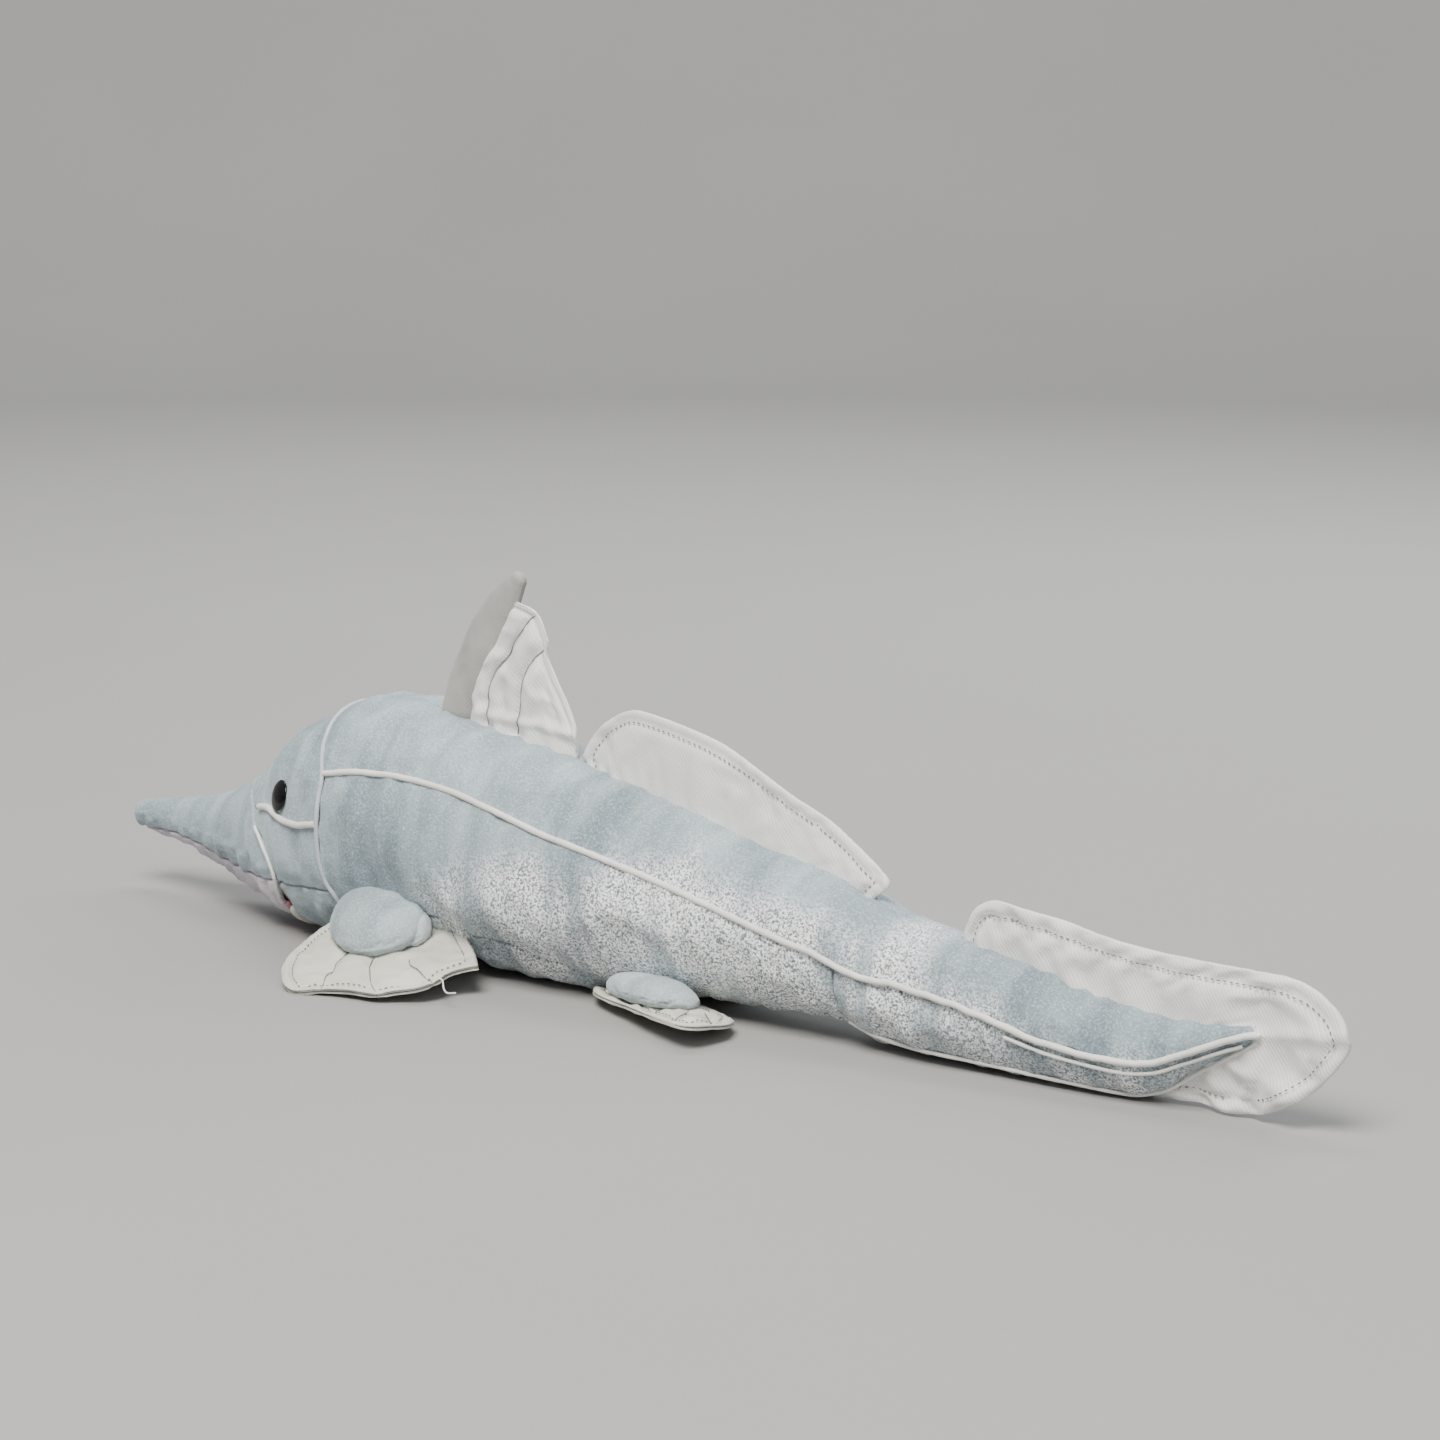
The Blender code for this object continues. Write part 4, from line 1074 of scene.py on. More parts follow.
@dataclass
class SkinPanel:
    """One velvet panel, rolled into its seams and puckered by them."""

    name: str
    look: Material
    slot: str
    start: Line
    end: Line
    low: Line
    high: Line
    edges: tuple[Seam, Seam, Seam, Seam]
    pairs: bool = False
    cell: float = 1.35
    cloth: float = 1.3
    pucker: float = 0.42
    gathers: float = 0.0

    def places(self, form: BodyForm) -> tuple[Array, Array]:
        """Grid of x and angle between the seams.

        Args:
            form: the body's surface.

        Returns:
            x and angle of each grid point.
        """
        margins = [edge.gap for edge in self.edges]
        first, last = self.start(np.array(0.0)), self.end(np.array(0.0))
        spread = np.linspace(first, last, 24)
        girth = ((self.high(spread) - self.low(spread)) * form.degree(spread)).max()
        ends = [0.0 if edge is Seam.OPEN else 0.75 for edge in self.edges]
        rows = crowded(max(10, int((last - first) / self.cell)), max(ends[:2]))
        columns = crowded(max(8, int(girth / self.cell)), max(ends[2:]))
        s, t = np.meshgrid(rows, columns, indexing="ij")
        x = first + (last - first) * s
        for _ in range(8):
            degree = form.degree(x)
            low = self.low(x) + margins[2] * self.slant(self.low, x, degree) / degree
            high = self.high(x) - margins[3] * self.slant(self.high, x, degree) / degree
            angle = low + (high - low) * t
            x0, x1 = self.start(angle) + margins[0], self.end(angle) - margins[1]
            x = x0 + (x1 - x0) * s
        return x, angle

    @staticmethod
    def slant(seam: Line, x: Array, degree: Array) -> Array:
        """Length of a slanting seam for each step along the body."""
        return np.hypot(1.0, (seam(x + 1.0) - seam(x - 1.0)) / 2 * degree)

    def relief(self, form: BodyForm, core: Stuffing, x: Array, angle: Array) -> Array:
        """Height of the cloth over the plain body surface.

        Args:
            form: the body's surface.
            core: the settled stuffing.
            x: place along the body.
            angle: degrees round it.

        Returns:
            Height at each place.
        """
        degree = form.degree(x)
        ring = (self.start(angle + 1.0) - self.start(angle - 1.0)) / 2 / degree
        gaps = ((x - self.start(angle)) / np.hypot(1.0, ring), self.end(angle) - x,
                (angle - self.low(x)) * degree / self.slant(self.low, x, degree),
                (self.high(x) - angle) * degree / self.slant(self.high, x, degree))
        round_about = angle * degree
        along = (round_about, round_about, x, x)
        noise, broad = SoftNoise(sum(map(ord, self.name))), SoftNoise(7)
        # Lumps of filling, 19 and 7 mm long, then wrinkles on the tail and fine folds along the snout
        height = core.lift(x, angle) + 0.45 * broad(x / 19.0, round_about / 34.0)
        height = height + 0.16 * broad(x / 7.0 + 9.0, round_about / 15.0)
        tail = ramp(x, 70.0, 60.0)
        height = height + tail * 0.40 * noise(x / 8.5 + round_about / 30.0, round_about / 60.0)
        ahead = ramp(self.end(angle) - x, 6.0, 12.0) * ramp(x, SNOUT_TIP_X, 14.0)
        height = height + self.gathers * ahead * broad(x / 2.8 + 5.0, round_about / 40.0 + 3.0)
        for edge, gap, way in zip(self.edges, gaps, along):
            if edge is Seam.OPEN:
                continue
            near = np.clip(gap - edge.gap, 0.0, None)
            inner = np.clip(1.0 - near / edge.roll, 0.0, 1.0)
            height = height - edge.roll * (1.0 - np.sqrt(1.0 - inner ** 2))
            height = height - edge.dip * bell(near, 5.0)
            gather = self.pucker * (1.0 + 0.8 * tail)
            height = height + gather * np.exp(-near / 4.0) * noise(way / 3.4, 20.0 + near / 30.0)
        return height

    def build(self, form: BodyForm, core: Stuffing) -> None:
        """Make the panel, or the pair of them.

        Args:
            form: the body's surface.
            core: the settled stuffing.
        """
        x, angle = self.places(form)
        height = self.relief(form, core, x, angle)
        _, tall, wide = form.sections(x)
        thin = np.minimum(self.cloth, np.minimum(tall, wide) * 0.5)
        top, bottom = form.skin(x, angle, height), form.skin(x, angle, height - thin)
        uv = np.stack([x, angle * form.degree(x)], -1) * MM
        for side in (Side.LEFT, Side.RIGHT) if self.pairs else (Side.LEFT,):
            node = f"{self.name}_{side.word}" if self.pairs else self.name
            mesh = sheet_mesh("skin_" + node, top, bottom, side, uv)
            piece = dress("skin_" + node, mesh, self.look, [node])


@dataclass
class VelvetSkin:
    """All the panels of the body."""

    form: BodyForm
    seams: Seams
    looks: Finishes
    mouth_corner: float = 5.0
    mouth_ramp: float = 12.0
    behind_lip: float = 8.0

    def mouth_edge(self, angle: Array) -> Array:
        """Front edge of the throat: behind the lip, running forward to the jaw at its corners."""
        off_centre = np.abs(np.asarray(angle, float) + 90.0) - MOUTH_HALF_ANGLE - self.mouth_corner
        share = ramp(off_centre, 0.0, self.mouth_ramp)
        behind = self.seams.jaw(-90.0) + self.behind_lip
        return behind + (self.seams.jaw(angle) - behind) * share

    def panels(self) -> list[SkinPanel]:
        """The panels with their seams."""
        s = self.seams
        plain, piped, free = Seam.PLAIN, Seam.PIPED, Seam.OPEN
        blue, pale = self.looks.velvet, self.looks.velvet_pale
        nose, tail, tip = s.at(SNOUT_TIP_X), s.at(TAIL_SEAM_X), s.at(TAIL_TIP_X)
        grey = "velvet_blue_grey"
        return [
            SkinPanel("snout_upper", blue, grey, nose, s.jaw, s.snout, other_side(s.snout),
                      (free, piped, plain, plain), gathers=0.38),
            SkinPanel("snout_underside", pale, "velvet_pale", s.at(SNOUT_TIP_X + 1.5), s.jaw, under_side(s.snout),
                      s.snout, (free, piped, plain, plain), pucker=0.2),
            SkinPanel("head_top", blue, grey, s.jaw, s.gill, s.cheek, other_side(s.cheek),
                      (piped, piped, piped, piped)),
            SkinPanel("throat", blue, grey, self.mouth_edge, s.gill, under_side(s.gular), s.gular,
                      (plain, piped, plain, plain)),
            SkinPanel("belly", blue, grey, s.gill, tail, under_side(s.belly), s.belly,
                      (piped, plain, plain, plain)),
            SkinPanel("cheek", blue, grey, s.jaw, s.gill, s.gular, s.cheek,
                      (piped, piped, plain, piped), pairs=True, cell=1.1),
            SkinPanel("back", blue, grey, s.gill, tip, s.lateral, s.level(90.0),
                      (piped, free, piped, plain), pairs=True, pucker=0.27),
            SkinPanel("flank", blue, grey, s.gill, tail, s.belly, s.lateral,
                      (piped, plain, plain, piped), pairs=True),
            SkinPanel("tail_flank", blue, grey, tail, tip, s.level(-90.0), s.lateral,
                      (plain, free, plain, piped), pairs=True),
        ]

    def build(self, core: Stuffing) -> None:
        """Make every panel.

        Args:
            core: the settled stuffing.
        """
        for panel in self.panels():
            panel.build(self.form, core)


class Tree(Enum):
    """Geometry trees that follow a line of points."""

    PIPING = "piping"
    STITCHES = "stitches"


class LineWorks:
    """Geometry Nodes trees for piping and stitches, and the meshes that they make."""

    def __init__(self) -> None:
        """Build both trees."""
        self.trees = {Tree.PIPING: self.piping_tree(), Tree.STITCHES: self.stitch_tree()}

    @staticmethod
    def start_tree(name: str, sizes: dict[str, float]) -> tuple[NodeTree, Node]:
        """Open a tree with a line, named sizes and a material as inputs.

        Args:
            name: the tree's name.
            sizes: each size's name and default.

        Returns:
            The tree and its input node.
        """
        tree = bpy.data.node_groups.new(name, "GeometryNodeTree")
        tree.interface.new_socket("Line", in_out="INPUT", socket_type="NodeSocketGeometry")
        for key, value in sizes.items():
            tree.interface.new_socket(key, in_out="INPUT", socket_type="NodeSocketFloat").default_value = value
        tree.interface.new_socket("Finish", in_out="INPUT", socket_type="NodeSocketMaterial")
        tree.interface.new_socket("Mesh", in_out="OUTPUT", socket_type="NodeSocketGeometry")
        return tree, add_node(tree, "NodeGroupInput")

    @staticmethod
    def end_tree(tree: NodeTree, source: Node, result: Socket) -> None:
        """Smooth, realize and dress the result.

        Args:
            tree: the tree.
            source: its input node.
            result: geometry to finish.
        """
        smooth = add_node(tree, "GeometryNodeSetShadeSmooth", {}, {"Geometry": result})
        real = add_node(tree, "GeometryNodeRealizeInstances", {}, {"Geometry": smooth.outputs[0]})
        finish = add_node(tree, "GeometryNodeSetMaterial", {}, {
            "Geometry": real.outputs[0], "Material": source.outputs["Finish"]})
        add_node(tree, "NodeGroupOutput", {}, {0: finish.outputs[0]})

    def piping_tree(self) -> NodeTree:
        """Puckered cord of cloth along a line; the points' girth swells or thins it."""
        tree, source = self.start_tree("sewn piping", {
            "Radius": 0.001, "Step": 0.0007, "Pucker": 0.00012, "Pucker pitch": 0.0028})
        curve = add_node(tree, "GeometryNodeMeshToCurve", {}, {"Mesh": source.outputs["Line"]})
        girth = add_node(tree, "GeometryNodeInputNamedAttribute", {"data_type": "FLOAT"}, {"Name": "girth"})
        thick = add_node(tree, "GeometryNodeSetCurveRadius", {}, {
            "Curve": curve.outputs[0], "Radius": girth.outputs[0]})
        even = add_node(tree, "GeometryNodeResampleCurve", {"mode": "LENGTH"}, {
            "Curve": thick.outputs[0], "Length": source.outputs["Step"]})
        ring = add_node(tree, "GeometryNodeCurvePrimitiveCircle", {}, {
            "Resolution": 12, "Radius": source.outputs["Radius"]})
        tube = add_node(tree, "GeometryNodeCurveToMesh", {}, {
            "Curve": even.outputs[0], "Profile Curve": ring.outputs[0], "Fill Caps": True})
        place = add_node(tree, "GeometryNodeInputPosition")
        puckers = grain(tree, place.outputs[0], computed(tree, "DIVIDE", 1.0, source.outputs["Pucker pitch"]), 1.0)
        height = computed(tree, "MULTIPLY", computed(tree, "SUBTRACT", puckers, 0.5), source.outputs["Pucker"])
        normal = add_node(tree, "GeometryNodeInputNormal")
        offset = add_node(tree, "ShaderNodeVectorMath", {"operation": "SCALE"}, {
            0: normal.outputs[0], "Scale": height})
        moved = add_node(tree, "GeometryNodeSetPosition", {}, {
            "Geometry": tube.outputs[0], "Offset": offset.outputs[0]})
        self.end_tree(tree, source, moved.outputs[0])
        return tree

    def stitch_tree(self) -> NodeTree:
        """Row of short thread stitches along a line."""
        tree, source = self.start_tree("row of stitches", {
            "Pitch": 0.0023, "Length": 0.0012, "Thread": 0.00045})
        curve = add_node(tree, "GeometryNodeMeshToCurve", {}, {"Mesh": source.outputs["Line"]})
        spots = add_node(tree, "GeometryNodeCurveToPoints", {"mode": "LENGTH"}, {
            "Curve": curve.outputs[0], "Length": source.outputs["Pitch"]})
        bead = add_node(tree, "GeometryNodeMeshUVSphere", {}, {"Segments": 6, "Rings": 5, "Radius": 0.5})
        size = add_node(tree, "ShaderNodeCombineXYZ", {}, {
            "X": source.outputs["Thread"], "Y": source.outputs["Thread"], "Z": source.outputs["Length"]})
        placed = add_node(tree, "GeometryNodeInstanceOnPoints", {}, {
            "Points": spots.outputs[0], "Instance": bead.outputs[0], "Rotation": spots.outputs["Rotation"],
            "Scale": size.outputs[0]})
        self.end_tree(tree, source, placed.outputs[0])
        return tree

    def run(self, kind: Tree, name: str, lines: Sequence[Array], sizes: dict[str, float],
            look: Material, side: Side = Side.LEFT, girth: Array | None = None) -> Mesh:
        """Turn lines of points into a plain mesh.

        Args:
            kind: which tree.
            name: the mesh's name.
            lines: rows of points in millimetres.
            sizes: values of the tree's named inputs, in millimetres.
            look: the finish.
            side: RIGHT mirrors the lines.
            girth: relative thickness at each point of the lines.

        Returns:
            The mesh.
        """
        edges, first = [], 0
        for row in lines:
            edges += [(first + k, first + k + 1) for k in range(len(row) - 1)]
            first += len(row)
        points = np.vstack(lines) * MM
        points[:, 1] *= side.value
        mesh = bpy.data.meshes.new(name + "_line")
        mesh.from_pydata(points.tolist(), edges, [])
        swell = mesh.attributes.new("girth", "FLOAT", "POINT")
        swell.data.foreach_set("value", np.ones(first) if girth is None else girth)
        guide = bpy.data.objects.new(name + "_line", mesh)
        bpy.context.collection.objects.link(guide)
        tree = self.trees[kind]
        sockets = {item.name: item.identifier for item in tree.interface.items_tree
                   if item.item_type == "SOCKET" and item.in_out == "INPUT"}
        works = guide.modifiers.new(kind.value, "NODES")
        works.node_group = tree
        for key, value in sizes.items():
            works[sockets[key]] = value * MM
        works[sockets["Finish"]] = look
        result = bpy.data.meshes.new_from_object(guide.evaluated_get(bpy.context.evaluated_depsgraph_get()))
        guide.modifiers.clear()
        bpy.data.objects.remove(guide, do_unlink=True)
        result.name = name
        if "girth" in result.attributes:
            result.attributes.remove(result.attributes["girth"])
        return result


@dataclass
class Piping:
    """White and grey cords of cloth sewn into the seams; sizes ending in _d are diameters."""

    form: BodyForm
    seams: Seams
    looks: Finishes
    works: LineWorks
    lateral_d: float = 2.3
    cheek_d: float = 2.6
    gill_d: float = 1.7
    jaw_d: float = 1.4
    trim_d: float = 1.3
    fold_gap: float = 3.4
    seat: float = 0.1
    jaw_girth: Table = ((-46.0, 2.3), (-36.0, 2.5), (-26.0, 2.0), (-18.0, 1.15), (0.0, 1.0), (6.0, 0.4))

    def sew(self, name: str, lines: Array, diameter: float, look: Material, side: Side,
            node: str, girth: Array | None = None, pucker: float = 0.22) -> None:
        """Make one length of piping.

        Args:
            name: the piece's name.
            lines: its centre line.
            diameter: thickness of the cord.
            look: its finish.
            side: RIGHT mirrors it.
            node: the CAD node that it stands for.
            girth: relative thickness at each point.
            pucker: depth of its puckers.
        """
        mesh = self.works.run(Tree.PIPING, name, [lines], {
            "Radius": diameter / 2, "Step": 0.7, "Pucker": pucker, "Pucker pitch": 2.6}, look, side, girth)
        dress(name, mesh, look, [node])

    def build(self) -> None:
        """Make every length."""
        form, seams = self.form, self.seams
        white, grey = self.looks.piping_white, self.looks.piping_grey
        turns = np.linspace(-42.0, 222.0, 150)  # over the back, open under the belly
        self.sew("piping_gill", form.skin(seams.gill(turns), turns, self.seat), self.gill_d, grey,
                 Side.LEFT, "gill_piping")
        x = np.linspace(float(seams.gill(27.0)) + 1.2, TAIL_TIP_X - 1.5, 320)
        wobble = SoftNoise(31)(x / 5.0) * np.clip((x - 60.0) / 60.0, 0.15, 1.0)
        lifted = 0.45 * ramp(x, 60.0, 60.0)
        lateral = form.skin(x, seams.lateral(x) + wobble * 0.9, self.seat + 0.15 * wobble + lifted)
        slim = np.clip((TAIL_TIP_X - x) / 18.0, 0.35, 1.0)
        # A second, finer fold of cloth runs under the lateral line near the tail's tip
        fold_x = np.linspace(163.0, 243.0, 120)
        below = seams.lateral(fold_x) - self.fold_gap / form.degree(fold_x)
        fold = form.skin(fold_x, below, 0.2)
        trim_x = np.linspace(TAIL_SEAM_X + 2.0, 246.5, 220)
        trim = form.skin(trim_x, SmoothTable(TAIL_TRIM).line(trim_x), 0.25)
        steps = np.arange(len(fold_x))
        ends = np.clip(np.minimum(steps, steps[::-1]) / 12.0, 0.2, 1.0)
        # The cheek's cord ends in a knot behind the jaw's ring
        cheek_x = np.linspace(-173.5, GILL_X - 0.6, 70)
        cheek = form.skin(cheek_x, seams.cheek(cheek_x), self.seat)
        knot = 1.0 + 0.45 * bell(cheek_x + 172.3, 1.6) - 0.5 * bell(cheek_x + 173.6, 0.35)
        jaw_turns = np.linspace(-46.0, 6.0, 90)
        jaw = form.skin(seams.jaw(jaw_turns), jaw_turns, self.seat)
        ribbon = SmoothTable(self.jaw_girth).line(jaw_turns)
        for side in Side:
            self.sew("piping_lateral_" + side.word, lateral, self.lateral_d, white, side,
                     "lateral_line_" + side.word, slim, 0.4)
            for name, line, girth in (("tail_trim_", trim, None), ("tail_fold_", fold, ends)):
                mesh = self.works.run(Tree.PIPING, name + side.word, [line], {
                    "Radius": self.trim_d / 2, "Step": 0.8, "Pucker": 0.35, "Pucker pitch": 3.0}, white, side, girth)
                dress(name + side.word, mesh, white)
            self.sew("piping_cheek_" + side.word, cheek, self.cheek_d, white, side,
                     "cheek_piping_" + side.word, knot)
            self.sew("piping_jaw_" + side.word, jaw, self.jaw_d, white, side,
                     "jaw_piping_" + side.word, ribbon)


def tube_mesh(name: str, rings: Array, side: Side = Side.LEFT) -> Mesh:
    """Closed tube through rings of points, with a point at the middle of each end.

    Args:
        name: the mesh's name.
        rings: rings by points by three.
        side: RIGHT mirrors it.

    Returns:
        The mesh.
    """
    count, around = rings.shape[:2]
    faces = grid_faces(count, around, wrap=True)
    points = np.vstack([rings.reshape(-1, 3), rings[0].mean(0), rings[-1].mean(0)])
    first, last = count * around, count * around + 1
    for k in range(around):
        n = (k + 1) % around
        faces.append((first, k, n))
        faces.append((last, (count - 1) * around + n, (count - 1) * around + k))
    return mesh_from(name, points, faces, side)


@dataclass
class Mouth:
    """Pink lining under the jaw seam and a padded cream lip behind it."""

    form: BodyForm
    looks: Finishes
    lining_x: float = -164.75
    lining_width: float = 2.9
    lip_x: float = -161.05
    lip_d: float = 4.2
    floor_gap: float = 0.25

    def roll(self, x: float, width: float, height: float, lift: float, reach: float) -> Array:
        """Rings of a soft roll across the keel.

        Args:
            x: its middle along the body.
            width: size along the body.
            height: size off the body.
            lift: height of its centre over the surface.
            reach: degrees to each side of the keel.

        Returns:
            Rings of points.
        """
        turns = np.linspace(-90.0 - reach, -90.0 + reach, 90)
        place = np.full_like(turns, x)
        centre = self.form.skin(place, turns, lift)
        out = self.form.normal(place, turns)
        out[:, 0] = 0.0
        out /= np.linalg.norm(out, axis=1, keepdims=True)
        centre[:, 2] = np.maximum(centre[:, 2], height / 2 + self.floor_gap)
        share = np.abs(np.linspace(-1.0, 1.0, len(turns)))
        slim = np.sqrt(np.clip(1.0 - share ** 14, 0.0, 1.0)) * (1.0 + 0.05 * SoftNoise(5)(turns / 4.0))
        phase = ring_of(18)
        along = np.array([1.0, 0.0, 0.0])
        return (centre[:, None] + slim[:, None, None] * (
            along * (np.cos(phase) * width / 2)[None, :, None]
            + out[:, None] * (np.sin(phase) * height / 2)[None, :, None]))

    def build(self) -> None:
        """Make the lining and the lip."""
        lining = tube_mesh("lining", self.roll(self.lining_x, self.lining_width, 3.0, -0.9, MOUTH_HALF_ANGLE + 2.0))
        dress("mouth_lining_roll", lining, self.looks.lining, ["mouth_lining"])
        lip = tube_mesh("lip", self.roll(self.lip_x, self.lip_d, self.lip_d, 0.0, MOUTH_HALF_ANGLE))
        dress("lower_lip_roll", lip, self.looks.cream, ["lower_lip"])


@dataclass
class Eyes:
    """Black safety eyes pressed a little into the pile; their washers stay inside the head."""

    form: BodyForm
    looks: Finishes
    x: float = -155.0
    angle: float = 18.4
    radius: float = 6.0
    sunk: float = 0.3
    dome: float = 1.9
    rim: float = 0.5
    stem_radius: float = 1.5
    stem: float = 5.3

    def build(self) -> None:
        """Make both eyes."""
        x, angle = np.array(self.x), np.array(self.angle)
        place = self.form.skin(x, angle, self.sunk)
        axis = self.form.normal(x, angle)
        across = np.cross([0.0, 0.0, 1.0], axis)
        across /= np.linalg.norm(across)
        up = np.cross(axis, across)
        profile = [(self.radius * math.cos(a), self.rim + (self.dome - self.rim) * math.sin(a))
                   for a in np.radians(np.linspace(88.0, 0.0, 16))]
        profile += [(self.radius * 0.985, self.rim * 0.45), (self.radius * 0.94, 0.1), (self.radius * 0.86, 0.0),
                    (self.stem_radius, 0.0), (self.stem_radius, -self.stem)]
        phase = ring_of(48)
        rings = np.array([[place + axis * height + (across * math.cos(t) + up * math.sin(t)) * radius
                           for t in phase] for radius, height in profile])
        for side in Side:
            dress("eye_dome_" + side.word, tube_mesh("eye", rings, side), self.looks.eye,
                  ["eye_" + side.word])
            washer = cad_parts["eye_washer_" + side.word]
            washer.data.materials.clear()
            washer.data.materials.append(self.looks.washer)


def smooth_curve(points: Sequence[Sequence[float]], count: int) -> Array:
    """Evenly spread points on a smooth curve through the given ones.

    Args:
        points: points to pass through.
        count: number of steps.

    Returns:
        Array of count + 1 points.
    """
    p = np.array(points, float)
    ends = np.vstack([2 * p[0] - p[1], p, 2 * p[-1] - p[-2]])
    dense = []
    for i in range(len(p) - 1):
        a, b, c, d = ends[i:i + 4]
        u = np.linspace(0.0, 1.0, 16, endpoint=False)[:, None]
        dense.append(0.5 * (2*b + (c - a)*u + (2*a - 5*b + 4*c - d)*u*u + (3*b - a - 3*c + d)*u**3))
    dense = np.vstack([*dense, p[-1:]])
    return even_steps(dense, count)


def even_steps(line: Array, count: int) -> Array:
    """Spread points evenly along a line of points.

    Args:
        line: points to follow.
        count: number of steps.

    Returns:
        Array of count + 1 points.
    """
    lengths = np.concatenate([[0.0], np.cumsum(np.linalg.norm(np.diff(line, axis=0), axis=1))])
    goals = np.linspace(0.0, lengths[-1], count + 1)
    return np.stack([np.interp(goals, lengths, line[:, k]) for k in range(3)], -1)


def clearance(points: Array, line: Array) -> Array:
    """Distance of each point from the nearest point of a dense line.

    Args:
        points: grid or list of points.
        line: points of the line.

    Returns:
        Distances in the shape of the grid.
    """
    flat = points.reshape(-1, 3)
    nearest = np.full(len(flat), 1e9)
    for start in range(0, len(line), 40):
        part = line[start:start + 40]
        nearest = np.minimum(nearest, ((flat[:, None] - part[None]) ** 2).sum(2).min(1))
    return np.sqrt(nearest).reshape(points.shape[:-1])


@dataclass
class QuiltedFin:
    """Two layers of cloth over thin padding, topstitched inside the margin and along its rays, whose dark seam cords
    also paint the shade in their grooves.
    """

    name: str
    node: str
    look: Material
    slot: str
    root: Sequence[Sequence[float]]
    margin: Sequence[Sequence[float]]
    front: Sequence[Sequence[float]]
    rear: Sequence[Sequence[float]]
    face: Triple
    thickness: float
    thread: Material
    works: LineWorks
    rays: Sequence[Sequence[Sequence[float]]] = ()
    hem: float = 2.0
    inset: float = 4.0
    pinch: float = 0.9
    puff: float = 0.3
    sway: float = 0.6
    wave: float = 0.0
    groove: float = 0.0
    cell: float = 1.3
    run_cell: float = 3.6
    stitched: bool = True
    sewn_front: bool = False
    sides: tuple[Side, ...] = (Side.LEFT,)
    seed: int = 11
    run: ClothRun = field(default_factory=lambda: ClothRun(pressure=1.8, slack=0.04, cap=1.2, bend=0.35))
    sway_map: Callable[[Array], Array] | None = None

    def plane(self, rows: Array, levels: Array) -> Array:
        """Points of the middle surface.

        Args:
            rows: shares along the root.
            levels: shares from the root to the margin.

        Returns:
            Grid of points.
        """
        fine = 240
        curves = [smooth_curve(c, fine) for c in (self.root, self.margin, self.front, self.rear)]
        pick = [np.stack([np.interp(shares, np.linspace(0, 1, fine + 1), c[:, k]) for k in range(3)], -1)
                for c, shares in zip(curves, (rows, rows, levels, levels))]
        root, margin, front, rear = pick
        s, t = rows[:, None, None], levels[None, :, None]
        return ((1 - t) * root[:, None] + t * margin[:, None] + (1 - s) * front[None] + s * rear[None]
                - (1 - s) * (1 - t) * root[0] - s * (1 - t) * root[-1]
                - (1 - s) * t * margin[0] - s * t * margin[-1])

    def edge_line(self) -> Array:
        """The free edge: front, margin and rear in one line, or without a front that is sewn down."""
        margin, rear = smooth_curve(self.margin, 400)[:-1], smooth_curve(self.rear, 80)[::-1]
        front = smooth_curve(self.front, 80)[:-1]
        return np.vstack([margin, rear] if self.sewn_front else [front, margin, rear])

    def gap(self, points: Array) -> Array:
        """Distance of points from the free edge."""
        return clearance(points, self.edge_line())

    def ray_lines(self) -> list[Array]:
        """Smooth lines of the ray seams."""
        return [smooth_curve(ray, 60) for ray in self.rays]

    def ray_gap(self, points: Array) -> Array:
        """Distance of points from the nearest ray seam."""
        lines = self.ray_lines()
        return clearance(points, np.vstack(lines)) if lines else np.full(points.shape[:-1], 99.0)

    def half(self, gap: Array, ray: Array) -> Array:
        """Half the fin's thickness.

        Args:
            gap: distance from the free edge.
            ray: distance from the nearest ray seam.

        Returns:
            Half thickness at each place.
        """
        full, hem = self.thickness / 2, self.hem / 2
        edge = np.sqrt(np.clip(1.0 - (1.0 - np.clip(gap / hem, 0.0, 1.0)) ** 2, 0.0, 1.0)) * 0.75 + 0.25
        half = (hem + (full - hem) * ramp(gap, self.inset, 9.0)) * edge
        half = half - self.pinch * hem * bell(gap - self.inset, 0.9) * 0.75
        half = half + full * self.puff * bell(ray - 5.0, 3.5) * ramp(gap, self.inset, 3.0)
        half = half - half * self.pinch * 0.8 * bell(ray, 1.0)
        return np.maximum(half, 0.18)

    def root_length(self) -> float:
        """Mean length of the fin along its root and margin."""
        return float(np.mean([line_length(smooth_curve(c, 60)) for c in (self.root, self.margin)]))

    def settle(self, rows: Array, levels: Array) -> tuple[Array, Array]:
        """Simulate both layers on a coarse grid.

        Args:
            rows: shares of the fine grid along the root.
            levels: shares of the fine grid from the root.

        Returns:
            How far the two faces move on the fine grid.
        """
        count = max(12, int(self.root_length() / self.run_cell))
        depth = max(10, int(line_length(smooth_curve(self.front, 40)) / self.run_cell))
        s, t = np.linspace(0, 1, count), np.linspace(0, 1, depth)
        middle = self.plane(s, t)
        gap, ray = self.gap(middle), self.ray_gap(middle)
        _, level = np.meshgrid(s, t, indexing="ij")
        half = self.half(gap, ray)[..., None] * np.array(self.face)
        held = np.clip(bell(gap - self.inset, 2.4) + (level < 0.02) + (gap < 1.2) + bell(ray, 2.0), 0.0, 1.0)
        size = count * depth
        points = np.vstack([(middle + half).reshape(-1, 3), (middle - half).reshape(-1, 3)])
        moved = self.run.settle(points, layer_faces(count, depth), np.tile(held.ravel(), 2))
        top, bottom = moved[:size].reshape(count, depth, 3), moved[size:].reshape(count, depth, 3)
        return resample(top, rows, levels), resample(bottom, rows, levels)

